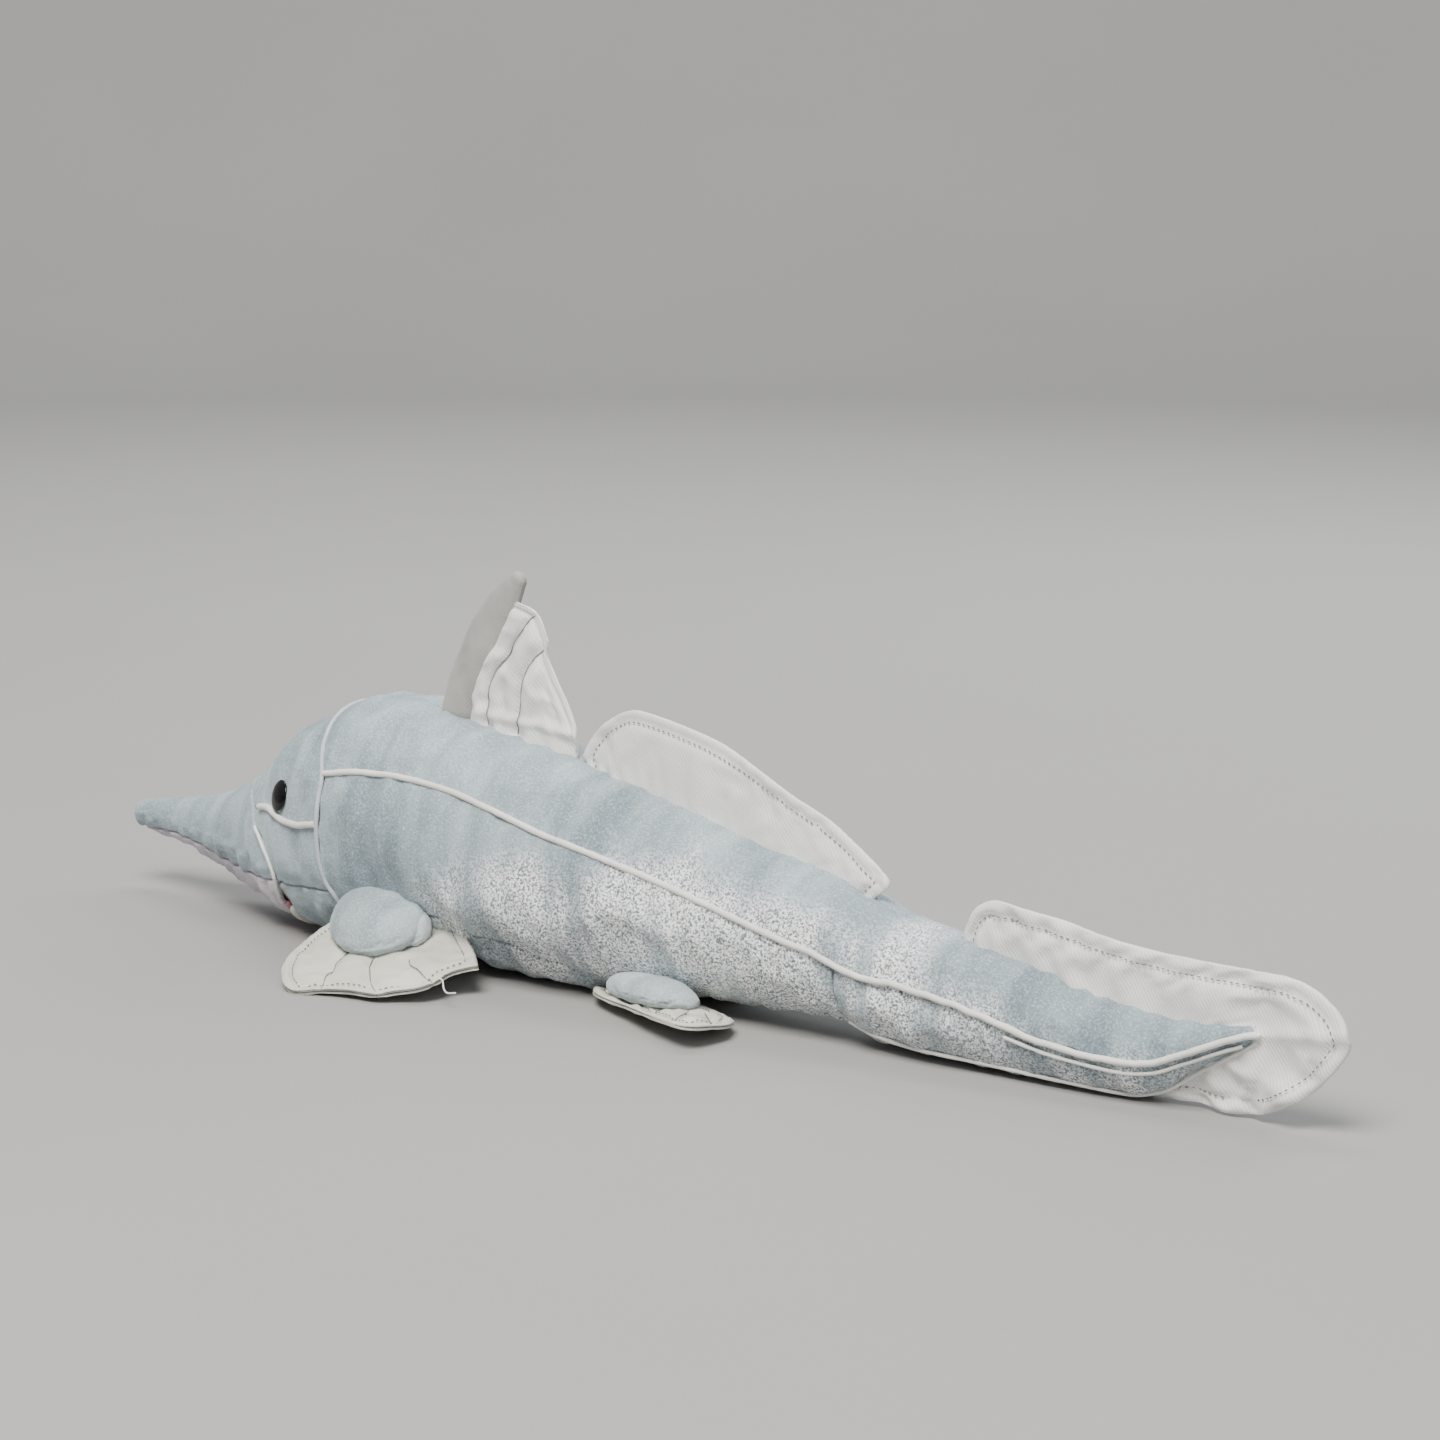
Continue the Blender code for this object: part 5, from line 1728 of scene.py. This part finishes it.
    def shape(self) -> tuple[Array, Array, Array, Array]:
        """Both faces, the flat places and the middle surface."""
        depth = max(line_length(smooth_curve(c, 40)) for c in (self.front, self.rear))
        spans = [np.linalg.norm(self.plane(np.array([s]), np.array([0.0, 1.0]))[0, 1]
                                - self.plane(np.array([s]), np.array([0.0]))[0, 0]) for s in (0.25, 0.5, 0.75)]
        depth = max(depth, *spans)
        rows = crowded(max(20, int(self.root_length() / self.cell)), 0.3)
        # Rows crowd towards the margin, where the hem turns over
        levels = 1.0 - (1.0 - np.linspace(0, 1, max(14, int(depth / self.cell)) + 1)) ** 1.35
        levels = np.concatenate([levels[:-1], [0.994, 1.0]])
        middle = self.plane(rows, levels)
        gap = self.gap(middle)
        share, level = np.meshgrid(rows, levels, indexing="ij")
        noise = SoftNoise(self.seed)
        face = np.array(self.face)
        run = share * self.root_length()
        # Slow bends 22 mm long, small ones 8 mm long, and waves that die away 11 mm inside the edge
        bend = self.sway * noise(run / 22.0, level * 2.0) * level
        bend = bend + 0.3 * self.sway * noise(run / 8.0, level * 3.0 + 7.0) * level
        bend = bend + self.wave * noise(run / 13.0 + 3.0, level * 1.3 + 11.0) * np.exp(-gap / 11.0) * level
        if self.sway_map is not None:
            bend = bend + self.sway_map(middle)
        half = self.half(gap, self.ray_gap(middle))
        gather = 0.16 * noise(run / 2.6, 31.0 + gap / 9.0) * np.exp(-np.abs(gap - self.inset) / 2.5)
        top_move, bottom_move = self.settle(rows, levels)
        top = middle + (bend + half + gather)[..., None] * face + top_move
        bottom = middle + (bend - half - gather * 0.8)[..., None] * face + bottom_move
        flat = np.stack([run, level * depth], -1) * MM
        return top, bottom, flat, middle

    def inset_line(self, distance: float) -> Array:
        """Line on the middle surface at one distance inside the free edge."""
        edge = even_steps(self.edge_line(), 420)
        inward = np.cross(np.array(self.face), np.gradient(edge, axis=0))
        inward /= np.linalg.norm(inward, axis=1, keepdims=True) + 1e-9
        centre = self.plane(np.array([0.5]), np.array([0.5]))[0, 0]
        if ((centre - edge) * inward).sum() < 0:
            inward = -inward
        line = edge + inward * distance
        return self.smoothed(line[self.gap(line) > distance * 0.93])

    def on_cloth(self, lines: Sequence[Array], middle: Array, faces: Sequence[Array], reach: float = 1.5,
                 sunk: float = 0.0) -> list[Array]:
        """Lay lines of the middle surface on the finished cloth.

        Args:
            lines: lines of points.
            middle: middle surface.
            faces: finished grids to lie on.
            reach: points further from the fin are left out.
            sunk: how far the lines sink towards the middle.

        Returns:
            One line for each line and grid.
        """
        flat, face, found = middle.reshape(-1, 3), np.array(self.face), []
        for line in lines:
            near = ((line[:, None] - flat[None]) ** 2).sum(2)
            best, keep = np.argpartition(near, 3, axis=1)[:, :4], near.min(1) < reach ** 2
            for grid in faces:
                heights = (grid.reshape(-1, 3)[best] - flat[best]) @ face
                way = np.sign(heights.mean(1))
                height = way * ((heights * way[:, None]).max(1) - sunk)
                height = np.convolve(np.pad(height, 2, "edge"), np.ones(5) / 5, "valid")
                if keep.sum() > 3:
                    found.append((line + height[:, None] * face)[keep])
        return found

    @staticmethod
    def smoothed(line: Array) -> Array:
        """Line with its small kinks rounded off."""
        padded = np.pad(line, ((5, 5), (0, 0)), "edge")
        return np.stack([np.convolve(padded[:, k], np.ones(11) / 11, "valid") for k in range(3)], -1)

    def build(self) -> None:
        """Make the fin and its stitches, on one side or both."""
        top, bottom, flat, middle = self.shape()
        for side in self.sides:
            suffix = "" if len(self.sides) == 1 else "_" + side.word
            mesh = sheet_mesh(self.name, top, bottom, side, flat, self.groove)
            piece = dress(self.name + suffix, mesh, self.look, [self.node + suffix])
            if self.stitched:
                rows = self.on_cloth([self.inset_line(self.inset)], middle, (top, bottom), sunk=-0.1)
                thread = self.works.run(Tree.STITCHES, self.name + "_stitches", rows, {
                    "Pitch": 2.3, "Length": 1.25, "Thread": 0.5}, self.thread, side)
                dress(self.name + "_stitches" + suffix, thread, self.thread)
            # The dark cords along the ray seams are their thread, and are also drawn dark to paint the shade in the
            # seams' grooves
            seams = self.on_cloth(self.ray_lines(), middle, (top, bottom))
            if self.groove:
                seams += self.on_cloth([self.inset_line(self.groove * 0.6)], middle, ((top + bottom) / 2,))
            if seams:
                cord = self.works.run(Tree.PIPING, self.name + "_seam_thread", seams, {
                    "Radius": 0.18, "Step": 0.8, "Pucker": 0.25, "Pucker pitch": 1.1}, self.thread, side)
                dress(self.name + "_seam_thread" + suffix, cord, self.thread)


@dataclass
class RidgeFins:
    """Spine, membrane, second dorsal and caudal fin in the fish's middle plane."""

    form: BodyForm
    looks: Finishes
    works: LineWorks
    root_depth: float = 3.0
    spine_x: float = -103.5
    spine_thickness: float = 9.4
    spine_tip: float = 4.6
    second_x: float = -33.5
    second_length: float = 132.0
    second_height: float = 28.0
    caudal_x: float = 134.5
    caudal_lower_x: float = 205.0
    spine_front: Table = (
        (0.0, 0.0), (4.0, 12.0), (9.5, 22.0), (16.0, 34.0), (23.5, 43.0), (30.5, 49.4), (35.5, 52.4))
    spine_back: Table = (
        (17.0, 0.0), (19.0, 7.0), (22.0, 14.0), (27.0, 22.5), (33.0, 31.5), (39.0, 41.5), (41.4, 48.0))
    membrane_margin: Table = (
        (40.0, 42.5), (46.0, 40.0), (50.0, 36.0), (53.0, 29.0), (52.6, 24.0), (56.0, 18.0), (61.0, 10.0),
        (65.0, 3.5), (68.0, -3.0), (67.2, -8.5))
    membrane_rays: tuple[Table, ...] = (
        ((47.5, 38.0), (44.3, 35.7), (34.9, 23.1), (26.1, 11.9), (24.4, -4.0)),
        ((51.5, 26.0), (46.8, 22.0), (42.0, 13.6), (40.5, 2.2), (39.0, -6.0)))
    second_shape: Table = (
        (0.00, 0.05), (0.02, 0.25), (0.05, 0.45), (0.09, 0.65), (0.17, 0.91), (0.25, 0.98), (0.37, 1.00),
        (0.50, 0.97), (0.62, 0.87), (0.74, 0.71), (0.86, 0.56), (0.95, 0.43), (1.01, 0.35), (1.035, 0.27),
        (1.02, 0.14), (0.995, 0.03))
    caudal_margin: Table = (
        (134.0, 42.0), (137.5, 49.5), (142.0, 53.5), (149.0, 55.0), (168.0, 53.0), (190.0, 49.6), (212.0, 47.6),
        (245.0, 47.4), (257.0, 47.2), (266.5, 44.2), (275.0, 37.8), (278.8, 30.5), (276.0, 23.5), (267.0, 13.0),
        (256.0, 5.5), (246.0, 1.5), (237.0, 0.7), (226.0, 1.6), (215.0, 1.4), (206.0, 1.2), (202.0, 3.0))

    def ridge(self, x: float) -> float:
        """Height of the ridge at x."""
        middle, tall, _ = self.form.sections(np.array(x))
        return float(middle + tall)

    def at_spine(self, rows: Table) -> Array:
        """Points measured from the foot of the spine."""
        return np.array([(self.spine_x + x, 0.0, self.ridge(self.spine_x) + z) for x, z in rows])

    def build_spine(self) -> None:
        """Stuffed spine with a seam along its front and back, and gathers across it."""
        count = 64
        front = smooth_curve(self.at_spine(self.spine_front), count)
        back = smooth_curve(self.at_spine(self.spine_back), count)
        sink = np.array([0.0, 0.0, -self.root_depth])
        front, back = np.vstack([front[:1] + sink, front]), np.vstack([back[:1] + sink * 2.4, back])
        share = np.clip((np.arange(count + 2) - 1) / count, 0.0, 1.0)
        thick = self.spine_thickness + (self.spine_tip - self.spine_thickness) * share
        phase = ring_of(40)
        noise = SoftNoise(17)
        middle, reach = (front + back) / 2, (back - front) / 2
        puff = 1.0 + 0.05 * noise(share[:, None] * 9.0, 3.0 + np.cos(phase)[None] * 2.0)
        seam = 1.0 - 0.07 * bell(np.cos(phase) ** 2 - 1.0, 0.06)
        across = np.array([0.0, 1.0, 0.0])
        rings = (middle[:, None] + reach[:, None] * (np.cos(phase)[None] * puff * seam)[..., None]
                 + across * (np.sin(phase)[None] * puff * thick[:, None] / 2)[..., None])
        tip_way = middle[-1] - middle[-6]
        tip_way /= np.linalg.norm(tip_way)
        centre = rings[-1].mean(0)
        cap = [centre + (rings[-1] - centre) * math.cos(a) + tip_way * 3.0 * math.sin(a)
               for a in np.radians((14, 28, 42, 56, 70, 82))]
        mesh = tube_mesh("spine", np.concatenate([rings, np.array(cap)]))
        dress("dorsal_spine_sleeve", mesh, self.looks.sateen_grey, ["dorsal_spine"])

    def build_membrane(self) -> None:
        """Quilted sail behind the spine."""
        back = smooth_curve(self.at_spine(self.spine_back), 18)
        crease = np.vstack([back[:1] + (0.0, 0.0, -self.root_depth * 2.0), back[:17]]) + (-0.6, 0.0, 0.0)
        margin = self.at_spine(self.membrane_margin)
        margin[0] = crease[-1]
        foot = margin[-1] + (-1.0, 0.0, -self.root_depth - 2.0)

        def folds(points: Array) -> Array:
            """Fold over the foot, where the cloth is gathered into the back."""
            behind = points[..., 0] - self.spine_x
            middle, tall, _ = self.form.sections(points[..., 0])
            rise = points[..., 2] - middle - tall - 5.5 - 0.1 * (behind - 40.0)
            return -1.3 * bell(rise, 1.9) * ramp(behind, 16.0, 8.0)

        QuiltedFin(
            "dorsal_membrane_sail", "dorsal_membrane", self.looks.sateen_white, "sateen_white",
            [crease[0], (crease[0] + foot) / 2 + (0.0, 0.0, -1.0), foot], margin, crease, [foot, margin[-1]],
            (0.0, 1.0, 0.0), 5.2, self.looks.thread, self.works, sway=1.3, wave=0.5,
            rays=[self.at_spine(ray) for ray in self.membrane_rays], stitched=False, sewn_front=True, inset=2.3,
            puff=0.45, seed=5, cell=0.9, sway_map=folds,
            run=ClothRun(pressure=2.5, slack=0.02, cap=1.0, bend=0.3),
        ).build()

    def build_second(self) -> None:
        """Long low fin on the back, topstitched inside its margin."""
        def place(share: float, height: float) -> Triple:
            """Point above the ridge at a share of the fin's length."""
            x = self.second_x + share * self.second_length
            return (x, 0.0, self.ridge(x) + height)

        margin = [place(f, h * self.second_height) for f, h in self.second_shape]
        root = [place(f, -self.root_depth) for f in (0.02, 0.25, 0.5, 0.75, 0.98)]
        QuiltedFin(
            "second_dorsal_sail", "second_dorsal_fin", self.looks.sateen_white, "sateen_white", root, margin,
            [root[0], margin[0]], [root[-1], margin[-1]], (0.0, 1.0, 0.0), 3.6, self.looks.thread, self.works,
            sway=0.9, seed=3, run=ClothRun(pressure=1.2, slack=0.02, cap=0.55, bend=0.4),
        ).build()

    def build_caudal(self) -> None:
        """Tail fin above, behind and below the tail's tip, with its lower lobe rippled."""
        def inside(x: float, way: float) -> Triple:
            """Point inside the tail, above or below its middle."""
            middle, tall, _ = self.form.sections(np.array(x))
            return (x, 0.0, float(middle + way * 0.5 * tall))

        end = TAIL_TIP_X - 3.0
        upper = [inside(self.caudal_x + (end - self.caudal_x) * f, 1.0) for f in (0.0, 0.25, 0.5, 0.75, 0.9, 1.0)]
        lower = [inside(end + (self.caudal_lower_x - end) * f, -1.0) for f in (0.2, 0.6, 1.0)]
        margin = [(x, 0.0, z) for x, z in self.caudal_margin]
        root = upper + lower

        def ripple(points: Array) -> Array:
            """Crease from the tail's tip to the margin, and waves below it."""
            x, z = points[..., 0], points[..., 2]
            crease = z - (27.0 + 0.19 * (x - TAIL_TIP_X))
            low = ramp(24.0 - z, 0.0, 12.0) * ramp(x, 210.0, 20.0)
            return (-1.3 * ramp(x, 238.0, 25.0) * bell(crease, 2.2)
                    + low * 2.4 * np.sin((x * 0.75 + z * 0.9) / 4.4) * SoftNoise(9)(x / 16.0 + 3.0, z / 12.0)
                    + 1.3 * low * np.sin((x - z * 0.4) / 3.1 + 1.0) * SoftNoise(19)(x / 11.0, z / 9.0))

        QuiltedFin(
            "caudal_sail", "caudal_fin", self.looks.sateen_white, "sateen_white", root, margin,
            [root[0], margin[0]], [root[-1], margin[-1]], (0.0, 1.0, 0.0), 3.4, self.looks.thread, self.works,
            sway=0.8, wave=0.9, sway_map=ripple, seed=23, hem=2.6, inset=4.6,
        ).build()

    def build(self) -> None:
        """Make the four fins."""
        self.build_spine()
        self.build_membrane()
        self.build_second()
        self.build_caudal()


@dataclass
class SideFins:
    """A pair of flat fans on sloping planes, each with a stuffed lobe sewn on its root."""

    name: str
    looks: Finishes
    works: LineWorks
    plane: tuple[float, float]
    front: Table
    margin: Table
    rear: Table
    rays: tuple[Table, ...]
    pillow: tuple[float, ...]
    tuck: tuple[float, ...] = ()
    dents: Table = ()
    loose_end: Table = ()
    fan_thickness: float = 2.6
    sway: float = 0.9

    def lift(self, points: Table) -> list[Triple]:
        """Points on the fan's plane."""
        return [(x, y, self.plane[0] + self.plane[1] * y) for x, y in points]

    def build_fan(self) -> None:
        """Two layers of cotton with a dark line between them at the edge."""
        slope = Vector((0.0, -self.plane[1], 1.0)).normalized()
        QuiltedFin(
            self.name + "_fan_cloth", self.name + "_fan", self.looks.cream, "fan_cream",
            self.lift((self.front[0], self.rear[0])), self.lift(self.margin), self.lift(self.front),
            self.lift(self.rear), tuple(slope), self.fan_thickness, self.looks.thread, self.works,
            rays=[self.lift(ray) for ray in self.rays], hem=2.2, groove=1.1, puff=0.5, sway=self.sway, wave=0.4,
            sides=tuple(Side), seed=41,
            run=ClothRun(pressure=1.2, slack=0.03, cap=0.6, bend=0.3), cell=1.2,
        ).build()

    def pillow_rings(self, x0: float, y0: float, length: float, width: float, crown: float, yaw: float) -> Array:
        """Rings of a plump pillow on the fan, from its foot to its crown.

        Args:
            x0: its centre along the body.
            y0: its centre across the body.
            length: its long side.
            width: its short side.
            crown: its height over the fan.
            yaw: turn of its long side, in degrees.

        Returns:
            Rings by points by three.
        """
        around, levels = 96, 30
        phase, rise = ring_of(around), np.linspace(0.0, 1.0, levels)
        wall = 0.18  # share of the rings that stand up from the foot seam
        up = np.clip((rise - wall) / (1.0 - wall), 0.0, 1.0) * math.pi / 2
        reach = np.where(rise < wall, 0.90 + 0.10 * np.sin(rise / wall * math.pi / 2), np.cos(up) ** 0.62)
        height = np.where(rise < wall, rise / wall * 0.26, 0.26 + 0.74 * np.sin(up) ** 1.15)
        u = length / 2 * reach[:, None] * np.sign(np.cos(phase)) * np.abs(np.cos(phase)) ** 0.92
        v = width / 2 * reach[:, None] * np.sign(np.sin(phase)) * np.abs(np.sin(phase)) ** 0.92
        turn = math.radians(yaw)
        x = x0 + u * math.cos(turn) - v * math.sin(turn)
        y = y0 + u * math.sin(turn) + v * math.cos(turn)
        top = crown * height[:, None] * np.ones(around)
        for dent_x, dent_y, radius, depth in self.dents:
            top = top - depth * np.exp(-((x - dent_x) ** 2 + (y - dent_y) ** 2) / radius ** 2) * height[:, None]
        gather = 0.35 * SoftNoise(13)(phase * 7.0, 1.0) * np.exp(-(rise[:, None] * 14.0 / 3.0))
        z = self.plane[0] + self.plane[1] * y + self.fan_thickness / 2 + 0.15 + top + gather
        rings = np.stack([x, y, z], -1)
        faces = [tuple(reversed(f)) for f in grid_faces(levels, around, wrap=True)]
        rows = rings.reshape(-1, 3)
        held = np.repeat(np.where(rise < 0.12, 1.0, np.where(rise > 0.97, 0.2, 0.0)), around)
        moved = ClothRun(pressure=3.0, slack=0.035, cap=1.6, bend=0.3).settle(rows, faces, held)
        return (rows + moved).reshape(rings.shape)

    def build_lobe(self) -> None:
        """Stuffed lobe on each fan, and the tuck of its cloth beside it."""
        lobe = self.pillow_rings(*self.pillow)
        tuck = self.pillow_rings(*self.tuck) if self.tuck else None
        for side in Side:
            mesh = tube_mesh(self.name + "_lobe", lobe, side)
            piece = dress(f"{self.name}_lobe_pillow_{side.word}", mesh, self.looks.velvet_lobe,
                          [f"{self.name}_lobe_{side.word}"])
            if tuck is not None:
                mesh = tube_mesh(self.name + "_tuck", tuck, side)
                piece = dress(f"{self.name}_lobe_tuck_{side.word}", mesh, self.looks.velvet_lobe)

    def build_loose_end(self) -> None:
        """End of thread left hanging at the rear corner of the left fan."""
        line = smooth_curve(self.loose_end, 24)
        mesh = self.works.run(Tree.PIPING, self.name + "_loose_end", [line], {
            "Radius": 0.3, "Step": 0.4, "Pucker": 0.1, "Pucker pitch": 0.8}, self.looks.piping_white)
        dress(self.name + "_loose_end", mesh, self.looks.piping_white)

    def build(self) -> None:
        """Make the fans and the lobes."""
        self.build_fan()
        self.build_lobe()
        if self.loose_end:
            self.build_loose_end()


def pectoral_fins(looks: Finishes, works: LineWorks) -> SideFins:
    """The large front pair."""
    return SideFins(
        "pectoral", looks, works, (22.3, 0.2545),
        ((-122.0, -17.0), (-126.0, -32.0), (-125.5, -47.0), (-121.0, -63.0), (-114.0, -74.0)),
        ((-114.0, -74.0), (-106.0, -81.0), (-97.0, -84.5), (-88.0, -80.0), (-78.0, -77.0), (-66.0, -75.0),
         (-60.0, -70.5), (-53.5, -66.0), (-50.5, -60.0), (-50.5, -53.0), (-47.5, -48.0), (-44.0, -45.0)),
        ((-80.0, -16.0), (-72.0, -24.0), (-62.0, -31.0), (-52.0, -38.0), (-44.0, -45.0)),
        (((-101.0, -50.0), (-97.5, -59.9), (-93.5, -70.0), (-88.5, -79.0)),
         ((-86.0, -54.0), (-83.5, -59.0), (-74.0, -68.5), (-64.5, -74.5)),
         ((-71.0, -52.0), (-68.1, -54.3), (-58.0, -58.2), (-51.5, -60.5))),
        pillow=(-99.0, -40.0, 46.0, 33.0, 15.0, -28.0), tuck=(-83.5, -37.5, 19.0, 13.0, 8.5, -42.0),
        dents=((-88.0, -38.0, 5.0, 2.0),),
        loose_end=((-50.8, -57.5, 8.0), (-48.2, -58.6, 7.6), (-44.5, -61.8, 6.0), (-41.0, -63.6, 5.4),
                   (-38.3, -62.2, 5.6)))


def pelvic_fins(looks: Finishes, works: LineWorks) -> SideFins:
    """The smaller rear pair."""
    return SideFins(
        "pelvic", looks, works, (-0.2, -0.165),
        ((-4.0, -11.0), (-8.0, -16.0), (-11.0, -21.0)),
        ((-11.0, -21.0), (-4.0, -28.5), (6.0, -33.5), (18.0, -38.0), (33.0, -45.0), (45.0, -49.5), (56.0, -53.0),
         (60.5, -50.0), (61.5, -42.0), (61.5, -34.0), (57.0, -25.0)),
        ((24.0, -8.0), (36.0, -12.5), (46.0, -17.5), (57.0, -25.0)),
        (((36.0, -35.0), (35.0, -40.0), (34.0, -44.0)), ((44.0, -34.0), (47.5, -42.0), (50.0, -49.5)),
         ((47.0, -29.0), (54.0, -35.0), (60.0, -41.0))),
        pillow=(21.0, -26.0, 46.0, 24.0, 8.5, -18.0), sway=0.5)


@dataclass
class Studio:
    """Pale floor, soft lights and the camera; places are metres and angles degrees."""

    camera_at_m: Triple = (0.78475, -0.8999, 0.3086)
    azimuth: float = 40.0
    elevation: float = 10.0
    field_of_view: float = 23.5

    def build_floor(self) -> None:
        """Flat floor that curves up all round, far behind the fish."""
        # Flat for 2.6 m, then a curve of 0.9 m, just under the cloth that rests on it
        around, flat, curve, low = 96, 2.6, 0.9, -0.0004
        turns = np.radians(np.linspace(0.0, 90.0, 19))
        rings = [(flat * share, low) for share in (0.15, 0.5, 1.0)]
        rings += [(flat + curve * math.sin(t), low + curve * (1.0 - math.cos(t))) for t in turns[1:]]
        phase = ring_of(around)
        points = [(r * math.cos(p), r * math.sin(p), z) for r, z in rings for p in phase]
        faces = grid_faces(len(rings), around, wrap=True) + [tuple(range(around))]
        mesh = bpy.data.meshes.new("studio_floor")
        mesh.from_pydata(points, [], faces)
        mesh.shade_smooth()
        mesh.materials.append(PaintedFloor("painted_board", "92918F", "989795").make())
        floor = bpy.data.objects.new("studio_floor", mesh)
        bpy.context.collection.objects.link(floor)

    def add_light(self, name: str, place: Triple, size: float, power: float,
                  colour: str, aim: Triple = (0.0, 0.0, 0.04)) -> None:
        """Soft square light aimed at the fish, or at the floor's curve behind it.

        Args:
            name: the light's name.
            place: position in metres.
            size: width in metres.
            power: watts.
            colour: sRGB hex value.
            aim: the point that it faces, in metres.
        """
        light = bpy.data.lights.new(name, "AREA")
        light.shape, light.size, light.energy = "SQUARE", size, power
        light.color = linear(colour)[:3]
        lamp = bpy.data.objects.new(name, light)
        lamp.location = place
        lamp.rotation_euler = (Vector(aim) - Vector(place)).to_track_quat("-Z", "Y").to_euler()
        bpy.context.collection.objects.link(lamp)

    def build(self) -> None:
        """Set up the floor, lights, world and camera."""
        self.build_floor()
        # Soft key over the near side, a weak fill, a rim along the back, and a wash on the floor's curve
        self.add_light("key_above", (0.35, -0.95, 1.6), 0.9, 66.0, "FFFCF6")
        self.add_light("fill_right", (1.5, -0.6, 0.8), 1.2, 6.0, "F4F8FF")
        self.add_light("rim_behind", (0.2, 1.5, 1.1), 1.0, 16.0, "F6FAFF")
        self.add_light("wash_behind", (-0.7, 0.85, 2.2), 1.6, 78.0, "FFFFFF", (-2.0, 2.4, 0.3))
        world = bpy.data.worlds.new("studio_world")
        world.use_nodes = True
        world.node_tree.nodes["Background"].inputs["Color"].default_value = linear("E6E9EC")
        world.node_tree.nodes["Background"].inputs["Strength"].default_value = 0.42
        bpy.context.scene.world = world
        lens = bpy.data.cameras.new("camera")
        lens.sensor_fit = "HORIZONTAL"
        lens.sensor_width = 36.0
        lens.lens = lens.sensor_width / 2 / math.tan(math.radians(self.field_of_view / 2))
        lens.clip_start = 0.01
        camera = bpy.data.objects.new("camera", lens)
        camera.location = self.camera_at_m
        camera.rotation_euler = (math.radians(90.0 - self.elevation), 0.0, math.radians(self.azimuth))
        bpy.context.collection.objects.link(camera)
        bpy.context.scene.camera = camera


def main() -> None:
    """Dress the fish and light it."""
    logging.basicConfig(level=logging.INFO, format="%(name)s: %(message)s")
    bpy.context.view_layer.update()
    looks, form, seams, works = Finishes(), BodyForm(), Seams(), LineWorks()
    core = Stuffing(form, seams)
    core.settle()
    core.build(looks.fibre)
    VelvetSkin(form, seams, looks).build(core)
    Piping(form, seams, looks, works).build()
    Mouth(form, looks).build()
    Eyes(form, looks).build()
    RidgeFins(form, looks, works).build()
    pectoral_fins(looks, works).build()
    pelvic_fins(looks, works).build()
    Studio().build()


if __name__ == "__main__":
    main()
